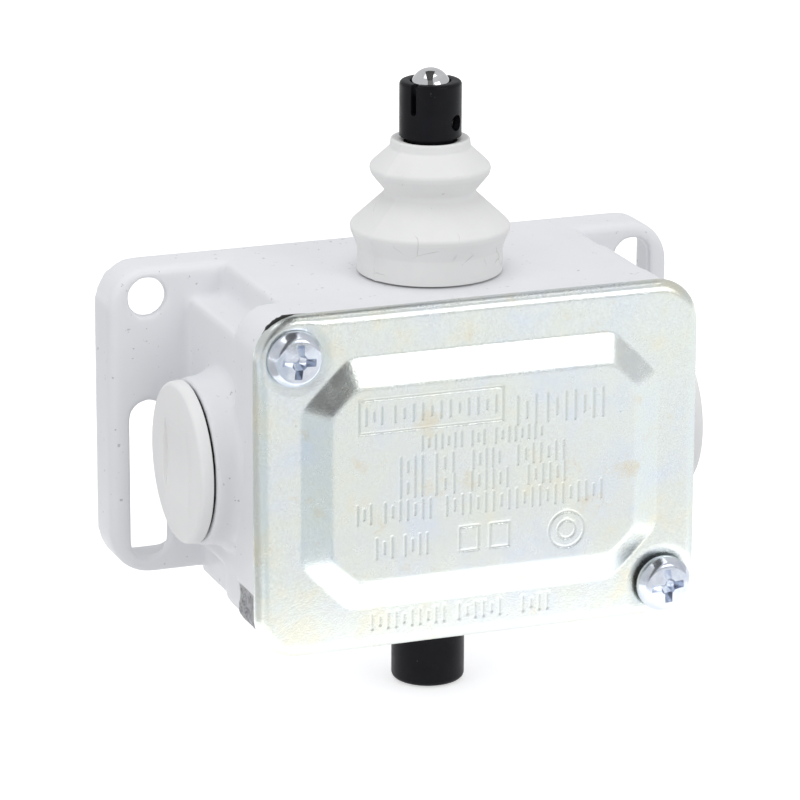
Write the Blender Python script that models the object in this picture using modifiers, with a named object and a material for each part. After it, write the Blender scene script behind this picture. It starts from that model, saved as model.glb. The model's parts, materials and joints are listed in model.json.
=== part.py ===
"""Ball-ended plunger limit switch in a die-cast case, as separate named pieces.

Metres, +Z up along the plunger, front cover towards -Y. The origin is the middle of the
flat back that bolts to a machine.
"""

import bmesh
import bpy
import numpy as np
from math import asin, cos, hypot, pi, radians, sin, tau
from mathutils import Matrix, Vector

MM = 0.001

# ---------------------------------------------------------------- driving dimensions
GAP = 0.3 * MM  # left between pieces that touch
STROKE = 5.5 * MM  # full travel of the plunger

# Case
BOX_WIDTH = 70.6 * MM
BOX_HEIGHT = 53.8 * MM
BOX_DEPTH = 44.9 * MM  # from the back of the case to its front rim
WALL = 2.6 * MM
BACK_WALL = 3.0 * MM
RIM_STEP = 1.3 * MM  # how far the front rim stands out of each side wall
RIM_DEPTH = 10.9 * MM
RIM_CORNER = 5.5 * MM
EAR_WIDTH = 13.7 * MM  # how far each mounting ear reaches past the side wall
PLATE_DEPTH = 8.5 * MM
PLATE_CORNER = 7.0 * MM
PLATE_SHORTER = 2.0 * MM  # the mounting plate ends this far above the case's bottom
PLATE_EDGE = 1.2 * MM  # rounding of the plate's front edge
EAR_WALL = 2.0 * MM
SKIRT_WALL = 2.2 * MM
HOLLOW_SETOUT = 0.2 * MM  # of the ear's hollow from the side wall
NOTCH_HEIGHT = 5.6 * MM
NOTCH_WIDTH = 5.8 * MM
NOTCH_CORNER = 1.6 * MM
SHALLOW_NOTCH_WIDTH = 3.0 * MM
SHALLOW_NOTCH_TOP = 10.0 * MM  # how far the upper shallow notch runs in front of the plate
SHALLOW_NOTCH_BOTTOM = 16.0 * MM
SCAR_HEIGHT = 8.5 * MM  # sheared casting gate on one corner of the rim
SCAR_DEPTH = 0.7 * MM

# Mounting holes, for M6 screws
MOUNT_HOLE = 6.4 * MM
MOUNT_INSET_X = 6.5 * MM
MOUNT_INSET_Z = 4.8 * MM
MOUNT_SLOT_LENGTH = 27.0 * MM
MOUNT_SLOT_INSET = 2.6 * MM

# Cable entries and their blanking plugs
ENTRY_BORE = 20.4 * MM
ENTRY_Z = -2.0 * MM
ENTRY_BOSS = 26.8 * MM
ENTRY_BOSS_BASE = 29.6 * MM
ENTRY_BOSS_LENGTH = 4.6 * MM
PLUG_FLANGE = 26.4 * MM
PLUG_FLANGE_DEPTH = 2.1 * MM
PLUG_WALL = 1.8 * MM
PLUG_STEM = 7.0 * MM
PLUG_EDGE = 0.9 * MM
PLUG_FLOOR = 1.0 * MM  # wall behind the flange, inside the stem
PLUG_SLOT = 13.4 * MM
PLUG_SLOT_DEPTH = 0.7 * MM
PLUG_SLOT_RIM = 1.5 * MM
SEAL_DEPTH = 0.6 * MM
SEAL_SETBACK = 0.5 * MM

# Cover, gasket and cover screws (M4)
SHEET = 1.0 * MM
COVER_OVERHANG = 0.9 * MM
COVER_TALLER = 0.2 * MM  # more overhang at top and bottom
COVER_DEPTH = 1.9 * MM
COVER_CORNER = 7.2 * MM
COVER_EDGE = 0.7 * MM
PANEL_MARGIN = 7.3 * MM
PANEL_SLOPE_X = 4.4 * MM
PANEL_SLOPE_Z = 4.8 * MM
PANEL_RAISE = 2.0 * MM
PANEL_CHAMFER = 7.7 * MM
PANEL_TOP_CHAMFER = 4.2 * MM
GASKET_DEPTH = 1.2 * MM
GASKET_WIDTH = 3.2 * MM
GASKET_SETBACK = 0.5 * MM  # from the rim's outline
GASKET_CORNER = 3.0 * MM
GASKET_EYE = 8.0 * MM
COVER_SCREW = 4.0 * MM
COVER_SCREW_HEAD = 9.2 * MM
COVER_SCREW_HEAD_DEPTH = 2.6 * MM
COVER_SCREW_LENGTH = 9.5 * MM
COVER_SCREW_INSET = 5.1 * MM
COVER_SCREW_INSET_Z = 4.6 * MM
UPPER_SCREW_INSET, UPPER_SCREW_INSET_Z = 5.4 * MM, 5.5 * MM
COVER_SCREW_RECESS, COVER_SCREW_REACH = 1.2 * MM, 5.0 * MM

# Plunger
PLUNGER_SETBACK = 24.5 * MM  # axis of the plunger, in front of the case's back
ROD = 6.0 * MM
STEM = 4.4 * MM
HEAD = 10.0 * MM
HEAD_LENGTH = 13.6 * MM
HEAD_TOP = 31.3 * MM  # above the case
HEAD_EDGE = 1.0 * MM
HEAD_GROOVE_WALL = 0.6 * MM  # left between the groove and the rod's bore
HEAD_GROOVE_DROP = 9.0 * MM
HEAD_GROOVE_HEIGHT = 2.7 * MM
HEAD_SLIT = 1.0 * MM
HEAD_SLIT_DEPTH = 5.0 * MM
HEAD_SLIT_ANGLE = radians(36)
BALL = 6.5 * MM
BALL_PROUD = 2.0 * MM
PIN = 2.0 * MM
PIN_ROOM = 0.9 * MM  # between the ball and the pin
PIN_SINK = 1.1 * MM  # each end of the pin below the head's side
CARRIER_COLLAR = 8.4 * MM
CARRIER_COLLAR_HEIGHT = 1.7 * MM
SPRING_COLLAR = 8.0 * MM
SPRING_COLLAR_HEIGHT = 2.0 * MM
SPRING_COLLAR_ROOM = 0.4 * MM  # left under the collar at full travel
CLIP_THICKNESS = 0.8 * MM
CLIP_OUTSIDE = 10.0 * MM
CLIP_GROOVE_DEPTH = 0.6 * MM

# Bellows
BOOT_WALL = 1.2 * MM
BOOT_BASE = 23.5 * MM
BOOT_BASE_HEIGHT = 4.4 * MM
BOOT_LOWER_FOLD = 25.8 * MM
BOOT_LOWER_FOLD_Z = 7.5 * MM
BOOT_WAIST = 14.4 * MM
BOOT_WAIST_Z = 13.0 * MM
BOOT_UPPER_FOLD = 19.7 * MM
BOOT_UPPER_FOLD_Z = 17.1 * MM
BOOT_COLLAR = 12.9 * MM

# Guide bush, its nut and the rod seal
BUSH_FLANGE = 18.0 * MM
BUSH_FLANGE_HEIGHT = 2.8 * MM
BUSH_NECK = 12.0 * MM
BUSH_LENGTH = 12.6 * MM
NUT_FLATS = 17.0 * MM
NUT_HEIGHT = 3.0 * MM
ROD_SEAL_SECTION = 1.5 * MM
ROD_SEAL_DROP = 9.0 * MM

# Lower guide cap and return spring
CAP = 12.0 * MM
CAP_LENGTH = 15.2 * MM
CAP_NECK = 10.6 * MM
CAP_NECK_LENGTH = 6.6 * MM
CAP_BORE = 8.8 * MM
CAP_FLOOR = 1.6 * MM
CAP_EDGE = 1.0 * MM
RETURN_WIRE = 0.8 * MM
RETURN_TURNS = 7
STEM_LENGTH = 13.0 * MM

# Contact set
BLOCK_WIDTH = 52.0 * MM
BLOCK_HEIGHT = 25.0 * MM
BLOCK_STANDOFF = 1.6 * MM
BLOCK_BASE = 7.2 * MM
TOWER_WIDTH = 10.5 * MM
TOWER_FRONT = 11.5 * MM  # in front of the plunger's axis
STRIP = 1.0 * MM
STRIP_WIDTH = 5.0 * MM
TIP = 3.0 * MM
TIP_HEIGHT = 0.7 * MM
TIP_LIP = 0.5 * MM  # strip left round a tip
BRIDGE_SPAN = 24.0 * MM  # between the two contact points
BRIDGE_SETOUT = 7.0 * MM  # in front of the plunger's axis
BRIDGE_Z = 1.0 * MM
BRIDGE_TRAVEL = 2.2 * MM
BRIDGE_WIDTH = 4.0 * MM
CARRIER_WIDTH = 12.0 * MM
CARRIER_TOP = 13.0 * MM
CARRIER_BOTTOM = -9.0 * MM
CARRIER_FRONT = 11.5 * MM
CARRIER_BACK = 5.5 * MM
WINDOW_HEIGHT = 9.4 * MM
WINDOW_DEPTH = 6.4 * MM
CONTACT_WIRE = 0.5 * MM
CONTACT_COIL = 4.2 * MM
CONTACT_TURNS = 4
TERMINAL_SCREW = 3.2 * MM
TERMINAL_SCREW_HEAD = 6.4 * MM
TERMINAL_SCREW_LENGTH = 8.5 * MM
TERMINAL_TAB = 3.6 * MM  # of the tab past its screw
TERMINAL_Z = 7.2 * MM  # screw above and below the bridge
BLOCK_SCREW = 3.2 * MM
BLOCK_SCREW_HEAD = 6.0 * MM
BLOCK_SCREW_X = 11.0 * MM
BLOCK_SCREW_Z = 8.0 * MM
BLOCK_POST = 8.0 * MM
SMALL_SCREW_HEAD_DEPTH = 2.0 * MM
SMALL_SCREW_RECESS, SMALL_SCREW_REACH = 0.9 * MM, 3.7 * MM
EARTH_SCREW = 4.0 * MM
EARTH_SCREW_HEAD = 7.6 * MM
EARTH_X = 19.0 * MM
EARTH_RISE = 6.6 * MM  # above the inside floor of the case
EARTH_POST = 9.0 * MM
EARTH_POST_LENGTH = 8.0 * MM
EARTH_CLAMP = 1.2 * MM
EARTH_CLAMP_LIP = 0.4 * MM  # past the post it sits on
EARTH_SCREW_HEAD_DEPTH = 2.4 * MM
EARTH_SCREW_RECESS, EARTH_SCREW_REACH = 1.1 * MM, 4.6 * MM
SMALL_CORNER = 1.2 * MM

# ---------------------------------------------------------------- places worked out from them
PLATE_HEIGHT = BOX_HEIGHT - PLATE_SHORTER
PLATE_WIDTH = BOX_WIDTH + 2 * EAR_WIDTH
TOP = PLATE_HEIGHT / 2
BOTTOM = TOP - BOX_HEIGHT
BOX_MIDDLE = (TOP + BOTTOM) / 2
RIM_WIDTH = BOX_WIDTH + 2 * RIM_STEP
RIM_FRONT = -BOX_DEPTH
AXIS_Y = -PLUNGER_SETBACK
GASKET_BACK = RIM_FRONT - GAP
GASKET_FRONT = GASKET_BACK - GASKET_DEPTH
COVER_INSIDE = GASKET_FRONT - GAP
COVER_FRONT = COVER_INSIDE - SHEET
COVER_WIDTH = RIM_WIDTH + 2 * COVER_OVERHANG
COVER_HEIGHT = BOX_HEIGHT + 2 * (COVER_OVERHANG + COVER_TALLER)
COVER_SCREW_AT = {
    -1: (UPPER_SCREW_INSET - RIM_WIDTH / 2, BOX_MIDDLE + BOX_HEIGHT / 2 - UPPER_SCREW_INSET_Z),
    1: (RIM_WIDTH / 2 - COVER_SCREW_INSET, BOX_MIDDLE - BOX_HEIGHT / 2 + COVER_SCREW_INSET_Z),
}
MOUNT_X = PLATE_WIDTH / 2 - MOUNT_INSET_X
MOUNT_Z = PLATE_HEIGHT / 2 - MOUNT_INSET_Z
ENTRY_FACE = BOX_WIDTH / 2 + ENTRY_BOSS_LENGTH
CAVITY_SIDE = BOX_WIDTH / 2 - WALL
CAVITY_NARROW = BOX_WIDTH / 2 - NOTCH_WIDTH - WALL
HEAD_TOP_Z = TOP + HEAD_TOP
BALL_Z = HEAD_TOP_Z + BALL_PROUD - BALL / 2
PIN_Z = BALL_Z - BALL / 2 - PIN_ROOM - PIN / 2
ROD_TOP = BALL_Z - BALL / 2 - GAP
HEAD_BOTTOM = HEAD_TOP_Z - HEAD_LENGTH
GROOVE_TOP = HEAD_TOP_Z - HEAD_GROOVE_DROP
GROOVE_BOTTOM = GROOVE_TOP - HEAD_GROOVE_HEIGHT
BUSH_BOTTOM = TOP - BUSH_LENGTH
CARRIER_STOP = min(CARRIER_TOP, BUSH_BOTTOM - GAP)
BLOCK_BACK = -BACK_WALL - BLOCK_STANDOFF - GAP
BLOCK_FACE = BLOCK_BACK - BLOCK_BASE
TOWER_FACE = AXIS_Y - TOWER_FRONT
TOWER_INSIDE = BLOCK_WIDTH / 2 - TOWER_WIDTH
BRIDGE_Y = AXIS_Y - BRIDGE_SETOUT
NC_STRIP_Z = BRIDGE_Z + STRIP / 2 + 2 * TIP_HEIGHT + GAP + STRIP / 2
NO_STRIP_Z = BRIDGE_Z - STRIP / 2 - 2 * TIP_HEIGHT - GAP - BRIDGE_TRAVEL - STRIP / 2
CAP_BOTTOM = BOTTOM - GAP - CAP_LENGTH
CAP_NECK_TOP = BOTTOM - GAP + CAP_NECK_LENGTH
SPRING_FLOOR = CAP_BOTTOM + CAP_FLOOR + GAP
SPRING_COLLAR_Z = BOTTOM + GAP + STROKE + SPRING_COLLAR_ROOM  # where the return spring pushes

FINE, MEDIUM, COARSE = 40, 28, 16

# ---------------------------------------------------------------- scene and materials
for old in list(bpy.data.objects):
    bpy.data.objects.remove(old, do_unlink=True)

PARTS = bpy.data.collections.new("limit_switch")
CUTTERS = bpy.data.collections.new("cutters")
for collection in (PARTS, CUTTERS):
    bpy.context.scene.collection.children.link(collection)
CUTTERS.hide_render = True


def finish(name, colour, roughness, metallic=0.0):
    material = bpy.data.materials.new(name)
    material.use_nodes = True
    shader = material.node_tree.nodes["Principled BSDF"]
    shader.inputs["Base Color"].default_value = (*colour, 1)
    shader.inputs["Roughness"].default_value = roughness
    shader.inputs["Metallic"].default_value = metallic
    material.diffuse_color = (*colour, 1)
    return material


CASE_PAINT = finish("case_paint", (0.70, 0.71, 0.74), 0.42)
ZINC_SHEET = finish("zinc_sheet", (0.72, 0.74, 0.68), 0.30, 1.0)
ZINC_SCREW = finish("zinc_screw", (0.70, 0.73, 0.78), 0.22, 1.0)
BLACK_PLASTIC = finish("black_plastic", (0.022, 0.022, 0.025), 0.38)
BLACK_RUBBER = finish("black_rubber", (0.02, 0.02, 0.02), 0.75)
WHITE_RUBBER = finish("white_rubber", (0.72, 0.71, 0.68), 0.65)
GREY_PLASTIC = finish("grey_plastic", (0.62, 0.61, 0.58), 0.55)
CHROME = finish("chrome_steel", (0.78, 0.79, 0.80), 0.06, 1.0)
BRIGHT_STEEL = finish("bright_steel", (0.56, 0.57, 0.58), 0.30, 1.0)
SPRING_STEEL = finish("spring_steel", (0.40, 0.41, 0.43), 0.35, 1.0)
BRASS = finish("brass", (0.72, 0.55, 0.26), 0.32, 1.0)
SILVERED = finish("silvered_copper", (0.78, 0.74, 0.66), 0.30, 1.0)
DARK_MOULDING = finish("dark_moulding", (0.06, 0.045, 0.035), 0.50)


# ---------------------------------------------------------------- modelling helpers
def place(obj, material=None, sharp=radians(32)):
    """Puts a finished piece in the parts, or a helper among the cutters."""
    collection = PARTS if material else CUTTERS
    collection.objects.link(obj)
    if material:
        obj.data.materials.append(material)
        obj.data.shade_smooth()
        obj.data.set_sharp_from_angle(angle=sharp)
    else:
        obj.hide_render = True
        obj.display_type = "WIRE"
    return obj


def box(name, low, high, material=None):
    low, high = Vector(low), Vector(high)
    bm = bmesh.new()
    size = Matrix.Diagonal((*(high - low), 1))
    bmesh.ops.create_cube(bm, size=1, matrix=Matrix.Translation((low + high) / 2) @ size)
    mesh = bpy.data.meshes.new(name)
    bm.to_mesh(mesh)
    bm.free()
    return place(bpy.data.objects.new(name, mesh), material)


def arc(centre, radius, start, end, steps):
    """Points of an arc, start and end in radians."""
    turn = np.linspace(start, end, steps + 1)
    return [(centre[0] + radius * cos(a), centre[1] + radius * sin(a)) for a in turn]


def rounded_rectangle(width, height, radius, steps=6, middle=(0, 0)):
    points = []
    for quarter, (sx, sy) in enumerate(((1, 1), (-1, 1), (-1, -1), (1, -1))):
        centre = (
            middle[0] + sx * (width / 2 - radius),
            middle[1] + sy * (height / 2 - radius),
        )
        points += arc(centre, radius, quarter * pi / 2, (quarter + 1) * pi / 2, steps)
    return points


def octagon(width, height, chamfer, middle=(0, 0)):
    x, z = width / 2, height / 2
    corners = ((x, z - chamfer), (x - chamfer, z), (chamfer - x, z), (-x, z - chamfer))
    points = [*corners, *((-a, -b) for a, b in corners)]
    return [(middle[0] + a, middle[1] + b) for a, b in points]


def slab(name, outline, back, front, material=None, edge=0.0):
    """A flat outline in X and Z, from y = back forwards to y = front (front < back)."""
    curve = bpy.data.curves.new(name, "CURVE")
    curve.dimensions = "2D"
    curve.fill_mode = "BOTH"
    curve.extrude = (back - front) / 2
    spline = curve.splines.new("POLY")
    spline.points.add(len(outline) - 1)
    for point, (x, z) in zip(spline.points, outline):
        point.co = (x, z, 0, 1)
    spline.use_cyclic_u = True
    guide = bpy.data.objects.new(name + "_outline", curve)
    CUTTERS.objects.link(guide)
    graph = bpy.context.evaluated_depsgraph_get()
    mesh = bpy.data.meshes.new_from_object(guide.evaluated_get(graph))
    mesh.transform(Matrix.Translation((0, (back + front) / 2, 0)) @ Matrix.Rotation(pi / 2, 4, "X"))
    bpy.data.objects.remove(guide)
    bm = bmesh.new()
    bm.from_mesh(mesh)
    bmesh.ops.remove_doubles(bm, verts=bm.verts, dist=1e-6)
    bmesh.ops.recalc_face_normals(bm, faces=bm.faces)
    if edge:
        rim = [e for e in bm.edges if all(abs(v.co.y - front) < 1e-6 for v in e.verts)]
        rim = [e for e in rim if len({round(f.normal.y) for f in e.link_faces}) > 1]
        bmesh.ops.bevel(bm, geom=rim, offset=edge, segments=3, affect="EDGES", profile=0.5)
    bm.to_mesh(mesh)
    bm.free()
    return place(bpy.data.objects.new(name, mesh), material)


def frustum(name, base, top, back, front):
    """A loft from one outline to another with as many points, along -Y."""
    bm = bmesh.new()
    lower = [bm.verts.new((x, back, z)) for x, z in base]
    face = bm.faces.new(lower)
    raised = bmesh.ops.extrude_face_region(bm, geom=[face])["geom"]
    upper = [v for v in raised if isinstance(v, bmesh.types.BMVert)]
    for vert in upper:
        away = [hypot(x - vert.co.x, z - vert.co.z) for x, z in base]
        x, z = top[away.index(min(away))]
        vert.co = (x, front, z)
    bmesh.ops.recalc_face_normals(bm, faces=bm.faces)
    mesh = bpy.data.meshes.new(name)
    bm.to_mesh(mesh)
    bm.free()
    return place(bpy.data.objects.new(name, mesh))


def turned(name, profile, material=None, at=(0, 0, 0), turn=None, steps=MEDIUM, ring=False):
    """A profile of (radius, height) pairs, top to bottom on the outside, spun about its own Z."""
    mesh = bpy.data.meshes.new(name)
    count = len(profile)
    edges = [(i, (i + 1) % count) for i in range(count if ring else count - 1)]
    mesh.from_pydata([(r, 0, z) for r, z in profile], edges, [])
    obj = place(bpy.data.objects.new(name, mesh), material)
    spin = obj.modifiers.new("Turned", "SCREW")
    spin.steps = spin.render_steps = steps
    spin.use_merge_vertices = True
    spin.merge_threshold = 1e-6
    spin.use_smooth_shade = bool(material)
    obj.location = at
    if turn:
        obj.rotation_euler = turn
    return obj


def rod_along(name, radius, start, end, material=None, steps=COARSE):
    """A plain round bar, or a round cutter, between two points."""
    start, end = Vector(start), Vector(end)
    bm = bmesh.new()
    length = (end - start).length
    turn = Vector((0, 0, 1)).rotation_difference(end - start).to_matrix().to_4x4()
    bmesh.ops.create_cone(
        bm,
        cap_ends=True,
        segments=steps,
        radius1=radius,
        radius2=radius,
        depth=length,
        matrix=Matrix.Translation((start + end) / 2) @ turn,
    )
    mesh = bpy.data.meshes.new(name)
    bm.to_mesh(mesh)
    bm.free()
    return place(bpy.data.objects.new(name, mesh), material)


def boolean(obj, other, operation="DIFFERENCE"):
    step = obj.modifiers.new(other.name, "BOOLEAN")
    step.operation = operation
    step.object = other
    step.solver = "EXACT"
    return obj


def cut(obj, *others):
    for other in others:
        boolean(obj, other)


def join(obj, *others):
    for other in others:
        boolean(obj, other, "UNION")


def coil(name, radius, wire, low, high, turns, material, at, per_turn=10):
    """A compression spring of round wire whose end turns lie flat."""
    curve = bpy.data.curves.new(name, "CURVE")
    curve.dimensions = "3D"
    curve.bevel_depth = wire / 2
    curve.bevel_resolution = 1
    curve.use_fill_caps = True
    count = turns * per_turn + 1
    rise = high - low - wire
    spline = curve.splines.new("POLY")
    spline.points.add(count - 1)
    for i, point in enumerate(spline.points):
        share = i / (count - 1)
        lift = min(max((share * turns - 0.75) / (turns - 1.5), 0), 1)
        flat = wire * (min(share * turns, 0.75) + max(share * turns - turns + 0.75, 0))
        height = low + wire / 2 + flat + lift * (rise - 1.5 * wire)
        angle = tau * share * turns
        point.co = (radius * cos(angle), radius * sin(angle), height, 1)
    obj = bpy.data.objects.new(name, curve)
    PARTS.objects.link(obj)
    curve.materials.append(material)
    obj.location = at
    return obj


def screw_piece(name, at, shank, head, head_depth, length, recess, reach, steps=12):
    """A pan-head screw driven in along +Y, with a cross recess. at is under its head."""
    edge = head_depth * 0.45
    profile = [
        (0, head_depth),
        (head / 2 - 2.2 * edge, head_depth),
        *arc((head / 2 - 1.2 * edge, head_depth - edge), edge, radians(60), radians(18), 2),
        (head / 2, head_depth * 0.30),
        (head / 2, 0),
        (shank / 2, 0),
        (shank / 2, -length + shank * 0.2),
        (shank * 0.3, -length),
        (0, -length),
    ]
    piece = turned(name, profile, ZINC_SCREW, at, (pi / 2, 0, 0), steps=steps)
    for number, (wide, tall) in enumerate(((recess, reach), (reach, recess))):
        slot = box(
            f"{name}_recess_{number}",
            (at[0] - wide / 2, at[1] - head_depth - MM, at[2] - tall / 2),
            (at[0] + wide / 2, at[1] - head_depth * 0.42, at[2] + tall / 2),
        )
        cut(piece, slot)
    return piece


def cylinder_y(name, x, z, diameter, back, front, steps=COARSE):
    return rod_along(name, diameter / 2, (x, back, z), (x, front, z), steps=steps)


# ---------------------------------------------------------------- case
def make_housing():
    """One casting: box with cut-back corners, front rim, cable bosses and two hollow ears."""
    plate = rounded_rectangle(PLATE_WIDTH, PLATE_HEIGHT, PLATE_CORNER)
    housing = slab("housing", plate, 0, -PLATE_DEPTH, CASE_PAINT, edge=PLATE_EDGE)
    body = slab(
        "case_body",
        rounded_rectangle(BOX_WIDTH, BOX_HEIGHT, RIM_CORNER - RIM_STEP, 4, (0, BOX_MIDDLE)),
        -PLATE_DEPTH / 2,
        RIM_FRONT + MM,
    )
    notch_edge = -BOX_DEPTH + RIM_DEPTH
    overlap = 0.5 * MM  # runs the deep notches into the rim, which fills them again
    side_edge = BOX_WIDTH / 2
    notches = (
        ("left_top", -1, 1, NOTCH_WIDTH, notch_edge),
        ("right_bottom", 1, -1, NOTCH_WIDTH, notch_edge),
        ("right_top", 1, 1, SHALLOW_NOTCH_WIDTH, -PLATE_DEPTH - SHALLOW_NOTCH_TOP),
        ("left_bottom", -1, -1, SHALLOW_NOTCH_WIDTH, -PLATE_DEPTH - SHALLOW_NOTCH_BOTTOM),
    )
    for name, side, end, width, front in notches:
        floor = (TOP if end > 0 else -TOP) - end * NOTCH_HEIGHT
        middle = (side * (side_edge - width / 2 + MM), floor + end * NOTCH_HEIGHT)
        outline = rounded_rectangle(width + 2 * MM, 2 * NOTCH_HEIGHT, NOTCH_CORNER, 3, middle)
        cut(body, slab(f"notch_{name}", outline, MM, front - overlap))
    rim = slab(
        "case_rim",
        rounded_rectangle(RIM_WIDTH, BOX_HEIGHT, RIM_CORNER, 6, (0, BOX_MIDDLE)),
        notch_edge,
        RIM_FRONT,
    )
    join(housing, body, rim)
    for side in (-1, 1):
        boss = turned(
            f"cable_boss_{side}",
            [
                (0, ENTRY_BOSS_LENGTH),
                (ENTRY_BOSS / 2, ENTRY_BOSS_LENGTH),
                (ENTRY_BOSS / 2 + 0.2 * MM, ENTRY_BOSS_LENGTH * 0.5),
                (ENTRY_BOSS_BASE / 2, -0.4 * MM),
                (ENTRY_BOSS_BASE / 2, -WALL / 2),
                (0, -WALL / 2),
            ],
            at=(side * BOX_WIDTH / 2, AXIS_Y, ENTRY_Z),
            turn=(0, side * pi / 2, 0),
            steps=FINE,
        )
        join(housing, boss)

    wide = box(
        "cavity_wide",
        (-CAVITY_SIDE, RIM_FRONT - MM, -TOP + NOTCH_HEIGHT + WALL),
        (CAVITY_SIDE, -BACK_WALL, TOP - NOTCH_HEIGHT - WALL),
    )
    tall = box(
        "cavity_tall",
        (-CAVITY_NARROW, RIM_FRONT - MM, BOTTOM + WALL),
        (CAVITY_NARROW, -BACK_WALL, TOP - WALL),
    )
    cut(housing, wide, tall)
    for side in (-1, 1):
        inner, outer = side * (BOX_WIDTH / 2 + HOLLOW_SETOUT), side * (PLATE_WIDTH / 2 - SKIRT_WALL)
        middle = ((inner + outer) / 2, 0)
        tall, corner = PLATE_HEIGHT - 2 * SKIRT_WALL, PLATE_CORNER - SKIRT_WALL - MM
        hollow = rounded_rectangle(abs(outer - inner), tall, corner, 4, middle)
        cut(housing, slab(f"ear_hollow_{side}", hollow, MM, -PLATE_DEPTH + EAR_WALL))
        x, front = side * MOUNT_X, -PLATE_DEPTH - MM
        hole = cylinder_y(f"mount_hole_{side}", x, -side * MOUNT_Z, MOUNT_HOLE, MM, front, 32)
        slot_far = side * (PLATE_HEIGHT / 2 - MOUNT_SLOT_INSET)
        slot_middle = (x, slot_far - side * MOUNT_SLOT_LENGTH / 2)
        corner = MOUNT_HOLE / 2 - 1e-6
        slot_outline = rounded_rectangle(MOUNT_HOLE, MOUNT_SLOT_LENGTH, corner, 8, slot_middle)
        cut(housing, hole, slab(f"mount_slot_{side}", slot_outline, MM, front))
        bore = rod_along(
            f"entry_bore_{side}",
            ENTRY_BORE / 2 + GAP,
            (side * (CAVITY_SIDE - MM), AXIS_Y, ENTRY_Z),
            (side * (ENTRY_FACE + MM), AXIS_Y, ENTRY_Z),
            steps=FINE,
        )
        cut(housing, bore)
    start, end = (0, AXIS_Y, TOP - WALL - MM), (0, AXIS_Y, TOP + MM)
    top_bore = rod_along("bush_bore", BUSH_NECK / 2 + GAP, start, end, steps=MEDIUM)
    start, end = (0, AXIS_Y, BOTTOM - MM), (0, AXIS_Y, BOTTOM + WALL + MM)
    low_bore = rod_along("cap_bore", CAP_NECK / 2 + GAP, start, end, steps=MEDIUM)
    cut(housing, top_bore, low_bore)
    for side in (-1, 1):
        x, z = COVER_SCREW_AT[side]
        depth = COVER_SCREW_LENGTH - (RIM_FRONT - COVER_FRONT) + MM
        hole = COVER_SCREW + 2 * GAP
        cut(housing, cylinder_y(f"cover_screw_hole_{side}", x, z, hole, RIM_FRONT + depth, RIM_FRONT - MM))
        post = cylinder_y(
            f"block_post_{side}",
            side * BLOCK_SCREW_X,
            side * BLOCK_SCREW_Z,
            BLOCK_POST,
            -BACK_WALL / 2,
            BLOCK_BACK + GAP,
        )
        join(housing, post)
        hole = cylinder_y(
            f"block_screw_hole_{side}",
            side * BLOCK_SCREW_X,
            side * BLOCK_SCREW_Z,
            BLOCK_SCREW + 2 * GAP,
            -BACK_WALL * 0.4,
            BLOCK_BACK - MM,
        )
        cut(housing, hole)
    earth_z = BOTTOM + WALL + EARTH_RISE
    earth_face = -BACK_WALL - EARTH_POST_LENGTH
    earth_hole = EARTH_SCREW + 2 * GAP
    join(housing, cylinder_y("earth_post", EARTH_X, earth_z, EARTH_POST, -BACK_WALL / 2, earth_face))
    cut(housing, cylinder_y("earth_hole", EARTH_X, earth_z, earth_hole, -BACK_WALL, earth_face - MM))
    scar = box(
        "gate_scar",
        (-RIM_WIDTH / 2 - MM, RIM_FRONT - MM, BOTTOM - MM),
        (-RIM_WIDTH / 2 + SCAR_DEPTH, notch_edge + MM, BOTTOM + SCAR_HEIGHT),
    )
    cut(housing, scar)
    for step in housing.modifiers:
        step.solver = "MANIFOLD"  # the exact solver leaves slits along the entry bores' facets
    return housing


# ---------------------------------------------------------------- cover
def make_cover():
    """Pressed tray with a raised eight-sided panel, hollow behind."""
    middle = (0, BOX_MIDDLE)
    tray = rounded_rectangle(COVER_WIDTH, COVER_HEIGHT, COVER_CORNER, 6, middle)
    back = COVER_FRONT + COVER_DEPTH
    cover = slab("cover", tray, back, COVER_FRONT, ZINC_SHEET, edge=COVER_EDGE)

    panel_width = COVER_WIDTH - 2 * PANEL_MARGIN
    panel_height = COVER_HEIGHT - 2 * PANEL_MARGIN
    base = octagon(panel_width, panel_height, PANEL_CHAMFER, middle)
    top = octagon(
        panel_width - 2 * PANEL_SLOPE_X, panel_height - 2 * PANEL_SLOPE_Z, PANEL_TOP_CHAMFER, middle
    )
    join(cover, frustum("panel_outside", base, top, COVER_FRONT + SHEET / 2, COVER_FRONT - PANEL_RAISE))
    inside = rounded_rectangle(
        COVER_WIDTH - 2 * SHEET, COVER_HEIGHT - 2 * SHEET, COVER_CORNER - SHEET, 6, middle
    )
    hollow = frustum("panel_inside", base, top, COVER_INSIDE + SHEET / 2, COVER_INSIDE - PANEL_RAISE)
    cut(cover, slab("tray_inside", inside, back + MM, COVER_INSIDE), hollow)
    for side in (-1, 1):
        x, z = COVER_SCREW_AT[side]
        cut(cover, cylinder_y(f"cover_hole_{side}", x, z, COVER_SCREW + 2 * GAP, back, COVER_FRONT - MM))
    return cover


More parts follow.
